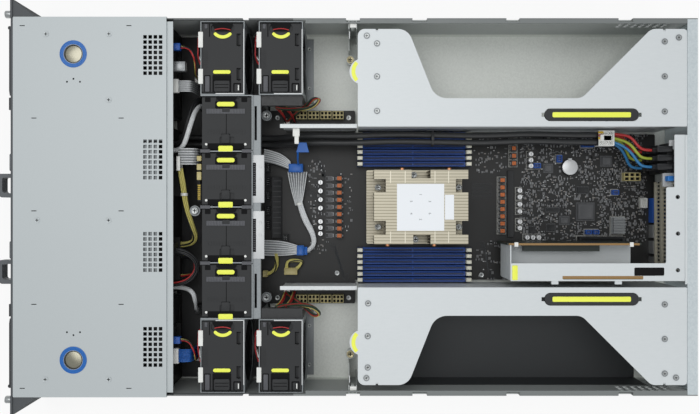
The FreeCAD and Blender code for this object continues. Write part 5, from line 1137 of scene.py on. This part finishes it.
# Expansion bracket and riser cards
# A zinc-plated bridge that carries the riser card over the board and lifts out by its yellow tab. The cards
# are brown-edged circuit boards standing on their long sides.
riser_edge = surface("brown_card_edge", "#8a6a3e", "#9c7a4a", 0.0, 0.55, 1.2)
card_mask = surface("green_black_card", "#1c241f", "#26302a", 0.0, 0.42, 2.5, 0.02)
dress(card_mask, "riser_cards")
bracket_low, bracket_high = corners_of("riser_bracket")
riser_top = bracket_high.z
riser_parts = []
yellow_px = ((512.2, 265.4), (517.6, 280.1))
brown_px = ((562.5, 276.0), (643.3, 279.0))
window_px = ((634.3, 267.5), (664.3, 275.5))
mark_px = ((691.4, 198.3), (690.5, 274.5), (691.2, 153.4), (690.4, 160.0), (691.2, 166.2))
hole_px = ((677.7, 197.0), (678.0, 233.6), (677.9, 270.2))
# The yellow tab and the brown card edge are real colours; the window is a near-black mark of painted shade.
for corners, finish, height in ((yellow_px, neon_resin, 0.9), (brown_px, riser_edge, 0.12),
                                (window_px, painted_shade_black, 0.1)):
    near, far = (spot(*corner, riser_top) for corner in corners)
    riser_parts.append(pill((near.x, near.y, riser_top - 0.3), (far.x, far.y, riser_top + height),
                            finish, 0.3))
# The holes and pressed marks get dark rings of painted shade.
for u, v in mark_px + hole_px:
    place = spot(u, v, riser_top)
    if bracket_low.x < place.x < bracket_high.x and place.y < bracket_high.y - 2.5:
        riser_parts.append(move(ring(2.0, 0.9, 0.4, riser_top - 0.1, gap_shade_ring), place.x, place.y))
rim = start_box((bracket_low.x, bracket_high.y - 1.0, riser_top + 0.1),
                (bracket_high.x, bracket_high.y + 6.6, riser_top + 1.1))
work(rim, facing("Y", 1), ("transform.resize", {"value": (0.985, 1.0, 1.0)}))
work(rim, facing_up, inset(0.7, -0.1))
riser_parts.append(paint(soften(rim, 0.3, 1), zinc))
settle(riser_parts, "riser_trim", "riser")
for index, (low, high) in enumerate(islands("riser_cards"), 1):
    edge = start_box((low.x + 0.1, low.y + 2.0, high.z - 0.4), (low.x + 2.5, high.y - 2.0, high.z + 0.15))
    work(edge, facing_up, inset(0.4, -0.1))
    edge_parts = [paint(edge, riser_edge)]
    if index == 1:
        for clip_y in (low.y + 10.8, high.y - 11.4):
            edge_parts.append(eased((low.x - 1.0, clip_y - 2.2, high.z - 1.0),
                                    (low.x + 4.2, clip_y + 2.2, high.z + 1.1),
                                    white_nylon, 0.3, inset(0.9, 0.3), rounds=1))
    settle(edge_parts, "card_edge_%d" % index, "riser")

# Expansion slot covers
# Three pressed covers behind the bracket, their folded edges beige with age and their faces pierced with
# rows of upright vents, drawn as rungs over a near-black backing of painted shade; a blue latch sits at the
# upper end.
aged_zinc = surface("aged_zinc_fold", "#a9a594", "#bab6a6", 0.25, 0.44, 1.5)
ladder_parts = []
ladder_low, ladder_high = -31.0, 76.0
for low_z, high_z in ((29.0, 44.0), (47.0, 66.0), (69.0, 82.0)):
    middle_z = (low_z + high_z) / 2
    fold = start_box((ladder_low, 383.4, low_z - 3.0), (ladder_high, 387.0, low_z))
    work(fold, facing("Y", -1), inset(0.7, 0.3))
    # The backing behind the rungs is a near-black sheet of painted shade that makes the vents.
    backing = start_box((ladder_low, 387.6, low_z), (ladder_high, 388.4, high_z))
    work(backing, facing("Y", -1), inset(0.6, 0.1))
    rung = soften(start_box((-1.0, 386.2, low_z), (1.0, 387.6, high_z)), 0.2, 1)
    rungs = repeat(rung, [(ladder_low + 3.0 + 4.8 * i, 0, 0) for i in range(22)])
    ladder_parts += [paint(soften(fold, 0.4, 1), aged_zinc), paint(backing, painted_shade_black), paint(rungs, aged_zinc),
                     eased((ladder_low, 386.4, middle_z - 0.8), (ladder_high, 387.6, middle_z + 0.8),
                           aged_zinc, 0.2, rounds=1)]
ladder_parts += [eased((-36.4, 378.0, 70.0), (-30.4, 390.0, 78.0), tab_resin, 0.4,
                       inset(1.0, -0.4), inset(0.6, 0.3), rounds=1),
                 eased((-40.0, 376.0, 66.0), (-24.0, 400.0, 70.0), bracket_zinc, 0.3,
                       inset(0.6, 0.2), rounds=1)]
settle(ladder_parts, "slot_cover_folds")

# Mains inlets
# Two black appliance inlets screwed to the rear panel, each with three shrouded terminals in front.
inlet_resin = surface("black_inlet_resin", "#1b1c1e", "#252628", 0.0, 0.48, 0.9)
dress(inlet_resin, "ac_inlets")
inlet_top = corners_of("ac_inlets")[1].z
connector = start_box((-92.5, 305.9, 36.7), (-74.0, 325.6, 51.4))
work(connector, facing("Y"), inset(1.4, 1.0))
work(connector, facing_up, inset(1.2, 0.4))
inlet_parts = [paint(soften(connector, 0.4, 1), white_nylon),
               eased((-87.4, 308.0, 51.0), (-79.4, 322.0, 52.9), white_nylon, 0.3, inset(0.8, 0.3), rounds=1)]
for start_x, finish in ((-91.4, "#c7a21f"), (-87.9, "#8c3a2c"), (-84.4, "#c7a21f")):
    sleeve_finish = surface("crimp_sleeve_%s" % finish[1:], finish, finish, 0.0, 0.4, 1.0)
    inlet_parts.append(pill((start_x, 305.5, 51.2), (start_x + 2.6, 312.0, 51.9), sleeve_finish, 0.5))
inlet_parts += [eased((-79.0, 382.0, inlet_top - 0.1), (-67.6, 397.0, inlet_top + 2.2), bracket_zinc, 0.4,
                      inset(0.8, -0.2), rounds=1),
                move(screw_head(2.2, 0.8, nickel), -73.3, 389.5, inlet_top + 2.0)]
shroud = start_box((-3.6, 368.0, 0.0), (3.6, 386.0, 2.6))
work(shroud, facing_up, inset(0.7, -0.3), inset(0.6, 0.3))
for level_z in (40.8, inlet_top):
    shrouds = repeat(twin(shroud), [(x, 0, level_z - 0.2) for x in (-68.4, -58.0, -47.6)])
    inlet_parts.append(paint(soften(shrouds, 0.3, 1), inlet_resin))
bpy.data.objects.remove(shroud, do_unlink=True)
settle(inlet_parts, "mains_plug_and_terminals")

# Insulating liner
# Black polyester film laid on the floor of the right lane, slightly satin.
liner = surface("black_insulating_film", "#2d2f31", "#373a3b", 0.0, 0.6, 1.2, 0.02)
dress(liner, "lane_liner")

# Mains cables
# Two black jacketed cables that run from the rear inlets to the front supplies, held along the board.
sleeve = surface("black_cable_jacket", "#1f2021", "#2f3031", 0.0, 0.42, 0.8, 0.04)
dress(sleeve, "ac_cables")
tie_band = start_rod((0, 0, 0), 9.6, 3.2, 36, "Y")
work(tie_band, facing("Y"), inset(0.8, 0.4))
tie_band.data.transform(Matrix.Scale(0.56, 4, (0, 0, 1)))
knot = eased((-86.0, 104.2, 49.0), (-80.4, 107.8, 51.6), sleeve, 0.4, inset(0.6, -0.2), rounds=1)
settle([paint(soften(move(tie_band, -83.2, 106.0, 44.6), 0.3), sleeve), knot],
       "cable_tie")

# Cable clip
# A white nylon clip hooked on the baffle, beside the blue pull tag of the board plug.
settle([eased(low, high, white_nylon, 0.6, inset(0.9, 0.4))
        for low, high in (((-93.0, -61.4, 72.0), (-83.0, -53.4, 77.0)),
                          ((-83.4, -59.4, 72.6), (-74.2, -54.4, 76.4)))], "baffle_clip")

# Wiring harness
# Twisted silver pairs laid as flat ribbons, bundles of yellow, red, green and black wire in PVC jackets,
# and nylon plugs on the backplane, the board and the fans.
# The foil's near-white streaks are partly its tinned tone and partly painted highlight.
silver_pair = surface("tinned_pair_foil", "#b2b5b6", "#eef0f1", 0.2, 0.38, 1.6, stretch=(3, 0.15, 1))
# Painted shade: a darker copy of the foil laid on every other pair to show the gaps between them.
foil_gap_shade = surface("pair_foil_gap_shade", "#6e7173", "#a4a7a9", 0.2, 0.42, 1.6, stretch=(3, 0.15, 1))
yellow_jacket = surface("yellow_wire_jacket", "#b5ab55", "#d9d07e", 0.0, 0.4, 1.0)
black_jacket = surface("black_wire_jacket", "#17181a", "#242527", 0.0, 0.45, 1.0)
green_jacket = surface("green_wire_jacket", "#244530", "#2f5a3d", 0.0, 0.42, 1.0)
blue_jacket = surface("blue_wire_jacket", "#2a6c9e", "#347cb0", 0.0, 0.4, 1.0)
blue_resin = surface("blue_pull_resin", "#1b58a8", "#2467bb", 0.0, 0.42, 1.0)
lane_start = front_y + 178.9
lane_span = 40.8


def lane(share):
    """Y of a share of the way from the backplane to the fan wall, millimetres."""
    return lane_start + lane_span * share


def bundle(route, finishes, thickness, spread, twist=0.9):
    """Wires twisted about one route; each finish in the list is one wire."""
    lines = {}
    for index, finish in enumerate(finishes):
        points = []
        for step, place in enumerate(route):
            ahead = Vector(route[min(step + 1, len(route) - 1)]) - Vector(route[max(step - 1, 0)])
            ahead.normalize()
            aside = ahead.cross(Vector((0, 0, 1)) if abs(ahead.z) < 0.8 else Vector((0, 1, 0))).normalized()
            turn = twist * step + 2 * math.pi * index / len(finishes)
            outwards = aside * math.cos(turn) + aside.cross(ahead) * math.sin(turn)
            points.append(Vector(place) + outwards * spread)
        lines.setdefault(finish, []).append(points)
    return [strands(routes, thickness, finish) for finish, routes in lines.items()]


def ribbon(one_edge, other_edge, count, thickness, finish, ripple=0.3):
    """Parallel pairs laid side by side between two edge routes; every other pair of foil is darker, painted
    shade between the pairs.
    """
    routes = []
    for i in range(count):
        share = i / (count - 1)
        routes.append([Vector(a).lerp(Vector(b), share) + Vector((0, 0, ripple * random.uniform(-1, 1)))
                       for a, b in zip(one_edge, other_edge)])
    strand_gap_shade = foil_gap_shade if finish == silver_pair else finish
    return join([strands(routes[::2], thickness, finish), strands(routes[1::2], thickness * 0.8, strand_gap_shade)])


def plug(low, high, finish, towards="Z"):
    """A nylon plug body: eased box with a stepped face towards the wires."""
    body = start_box(low, high)
    work(body, facing(towards, 1), inset(0.8), inset(0.2, 0.8))
    return paint(soften(body, 0.3, 1), finish)


def mirrored(points, side):
    return [(side * x, y, z) for x, y, z in points]


fan_x = (side_low.x + side_high.x) / 2
harness = []
for x in (fan_x, -fan_x):
    lead = [(x - 16, lane(0.345), 68), (x - 16, lane(0.56), 68), (x - 6, lane(0.74), 72),
            (x + 6, lane(0.74), 62), (x + 14, lane(0.62), 42), (x + 14, lane(0.62), 24)]
    harness += bundle(lead, [red_jacket, black_jacket, yellow_jacket, red_jacket], 1.2, 1.0)
    harness += [plug((x + 10, lane(0.52), 1.2), (x + 18, lane(0.72), 24), white_nylon),
                plug((x - 20, lane(0.0), 64), (x - 12, lane(0.345), 72), header_blue, "Y")]
fan_loop = [(130.6, -87.8, 44), (121.6, -87.8, 44), (119.2, -64.8, 38), (121.6, -40.8, 35), (132.6, -29.8, 33),
            (135.2, -38.8, 31), (124.6, -48.8, 29), (114.6, -63.8, 25), (108, -72.8, 16), (108, -73.8, 12)]
for side in (-1, 1):
    harness += bundle(mirrored(fan_loop, side),
                      [red_jacket, green_jacket, black_jacket, red_jacket, yellow_jacket, black_jacket,
                       green_jacket], 1.7, 1.9, 1.1)
    for offset in (0.0, 10.6):
        drop = [(122, -84 + offset, 41), (116, -77.4 + offset, 36), (109, -75.6 + offset, 24),
                (107, -75.2 + offset, 13)]
        harness += bundle(mirrored(drop, side), [red_jacket, red_jacket, yellow_jacket, black_jacket],
                          1.5, 1.3, 0.5)
    harness.append(plug(*on_side(side, (104.5, -77.2, 9.0), (111.5, -70.2, 14.0)), white_nylon))
harness += [plug((-54, -70.8, 9), (-43.4, -53.2, 22.4), blue_resin),
            plug((50, -67.8, 9), (60, -47.8, 20), blue_resin),
            ribbon([(-44, -72.0, 18), (-30, -69.6, 18.4), (-16, -66.4, 17.6), (-2, -62.2, 17)],
                   [(-44, -48.4, 18), (-30, -50.4, 18.4), (-16, -52.6, 17.6), (-2, -55.4, 17)],
                   15, 1.25, silver_pair)]
harness += bundle([(-5, -58.2, 17), (12, -54.8, 17), (36, -40.2, 17), (52, -40.2, 16), (56, -51.8, 15)],
                  [silver_pair] * 9, 1.7, 1.8, 0.5)
harness += bundle([(-8, -56.2, 17), (10, -51.8, 18), (34, -38.2, 17), (51, -38.2, 16), (57, -49.8, 15)],
                  [silver_pair] * 5, 1.5, 1.2, 0.5)
harness.append(ribbon([(-72, -101.6, 20), (-70, -92, 20.4), (-64, -76, 20.6), (-56, -68.8, 20.2)],
                      [(-57, -101.6, 20), (-55, -90, 20.4), (-50, -76, 20.6), (-46, -66.8, 20.2)],
                      12, 1.5, silver_pair))
harness.append(ribbon([(42, -101.6, 20), (42.4, -86, 20.4), (45, -70, 20.2), (50, -56, 20)],
                      [(60, -101.6, 20), (60.6, -86, 20.4), (60, -70, 20.2), (58, -58, 20)],
                      13, 1.5, silver_pair))
harness.append(plug((48, -60.6, 19.6), (60.4, -52, 22.4), blue_resin))
harness += bundle([(58, -86.8, 20), (66, -85.8, 17), (76, -86.8, 14), (84, -93.8, 12.6), (84, -99.8, 12.6)],
                  [yellow_jacket] * 5 + [black_jacket], 1.9, 2.0, 1.4)
harness += bundle([(79, -73.8, 15), (69, -75.2, 15), (66.5, -63.8, 15), (69, -50.8, 15), (79, -63.2, 15)],
                  [yellow_jacket] * 5 + [black_jacket], 1.7, 1.7, 1.2)
harness += [plug((80, -103.8, 9), (88, -97.8, 17), beige_nylon),
            plug((76.4, -76.8, 9), (85, -60.4, 19), beige_nylon),
            plug((-139, lane(0.69), 1.2), (-119, lane(0.91), 24), component),
            plug((-60, lane(0.24), 58), (-43, lane(0.345), 72), white_nylon, "Y"),
            plug((122, lane(0.5), 1.2), (134, lane(0.74), 24), component)]
harness += bundle([(-76, lane(0.0), 50), (-76, lane(0.22), 50), (-84, lane(0.39), 52), (-104, lane(0.52), 55),
                   (-124, lane(0.64), 50), (-132, lane(0.74), 38), (-133, lane(0.77), 22)],
                  [black_jacket] * 6, 2.6, 2.7, 0.3)
harness += bundle([(-67, lane(0.0), 62), (-67, lane(0.27), 62), (-76, lane(0.44), 63), (-96, lane(0.59), 64),
                   (-114, lane(0.71), 60), (-124, lane(0.81), 46), (-124, lane(0.83), 22)],
                  [silver_pair] * 9, 1.8, 2.1, 0.35)
drape = ((0.27, 67), (0.5, 68), (0.8, 66.5), (0.84, 54), (0.84, 34))
harness.append(ribbon(*[[(x, lane(share), z) for share, z in drape] for x in (-69, -51)],
                      13, 1.5, silver_pair))
harness += bundle([(-46, lane(0.3), 63), (-30, lane(0.36), 61), (0, lane(0.42), 55), (25, lane(0.59), 50),
                   (38, lane(0.66), 42), (46, lane(0.45), 36), (46, lane(0.172), 36)],
                  [yellow_jacket] * 6 + [black_jacket], 2.0, 2.5, 0.5)
harness += bundle([(60, lane(0.172), 36), (60, lane(0.42), 36), (67, lane(0.71), 48), (80, lane(0.74), 48),
                   (86, lane(0.42), 36), (86, lane(0.172), 36)],
                  [black_jacket] * 4 + [yellow_jacket, red_jacket], 2.0, 2.4, 0.4)
harness += bundle([(52, lane(0.196), 65), (52, lane(0.42), 65), (63, lane(0.76), 62), (78, lane(0.78), 60),
                   (92, lane(0.42), 60), (92, lane(0.0), 60)],
                  [black_jacket] * 5 + [red_jacket], 2.0, 2.4, 0.4)
harness += bundle([(97, lane(0.0), 46), (97, lane(0.27), 46), (102, lane(0.6), 50), (114, lane(0.68), 50),
                   (126, lane(0.63), 38), (128, lane(0.62), 22)], [silver_pair] * 8, 1.7, 2.0, 0.4)
tag = start_box((-78.4, -59.4, 46.0), (-66.4, -44.0, 47.2))
work(tag, facing("X", -1), ("transform.resize", {"value": (1.0, 0.6, 1.0)}))
work(tag, facing_up, inset(1.0, 0.2))
harness += [paint(soften(tag, 0.4), blue_resin),
            strands([[(-66.8, -57.6, 46.5), (-60, -58.2, 40), (-55.5, -58.6, 31), (-53, -58.6, 21.6)]],
                    2.4, blue_resin)]
for x, y, z, long, wide in ((-15, lane(0.39), 58.2, 3.6, 8.6), (-4, -58, 17.0, 3.2, 7.4)):
    tie = start_rod((x, y, z), wide / 2, long, 24, "X")
    work(tie, facing("X"), inset(0.6, 0.3))
    harness.append(paint(soften(tie, 0.3), white_nylon))
harness.append(plug((-172, lane(0.0), 61), (-161, lane(0.49), 71), grey_alloy, "Y"))
drape = ((0.2, 64), (0.5, 64.6), (0.66, 62), (0.67, 34))
for low_x, high_x, finish in ((-152, -136, silver_pair), (168, 186, blue_resin)):
    harness.append(plug((low_x, lane(0.0), 61), (high_x, lane(0.27), 67), white_nylon, "Y"))
    harness.append(ribbon(*[[(x, lane(share), z) for share, z in drape] for x in (low_x + 2, high_x - 2)],
                          11, 1.3, finish))
earth_jacket = surface("green_yellow_jacket", "#6f8f2e", "#b8b83a", 0.0, 0.4, 6.0)
lead_finishes = (red_jacket, earth_jacket, blue_jacket)
lead_start, lead_end = 325.25, 367.25
for level, (z0, centre) in enumerate(((48, 58), (40, 28))):
    for i, finish in enumerate(lead_finishes):
        x0, x1 = -88.5 + 5 * i, -68 + 10 * i
        route = [(x0, lead_start, z0), (x0 + 1 + i, lead_start + 8, z0 + 2),
                 (x0 + 4 + 4 * i + 2 * level, lead_start + 18, (z0 + centre) / 2 + 3),
                 (x1 - 4, lead_end - 16, centre + 1), (x1, lead_end - 9, centre), (x1, lead_end, centre)]
        harness.append(strands([route], 3.5, finish))
settle(harness, "wiring_harness", stands_for=("wiring",), angle=60.0)
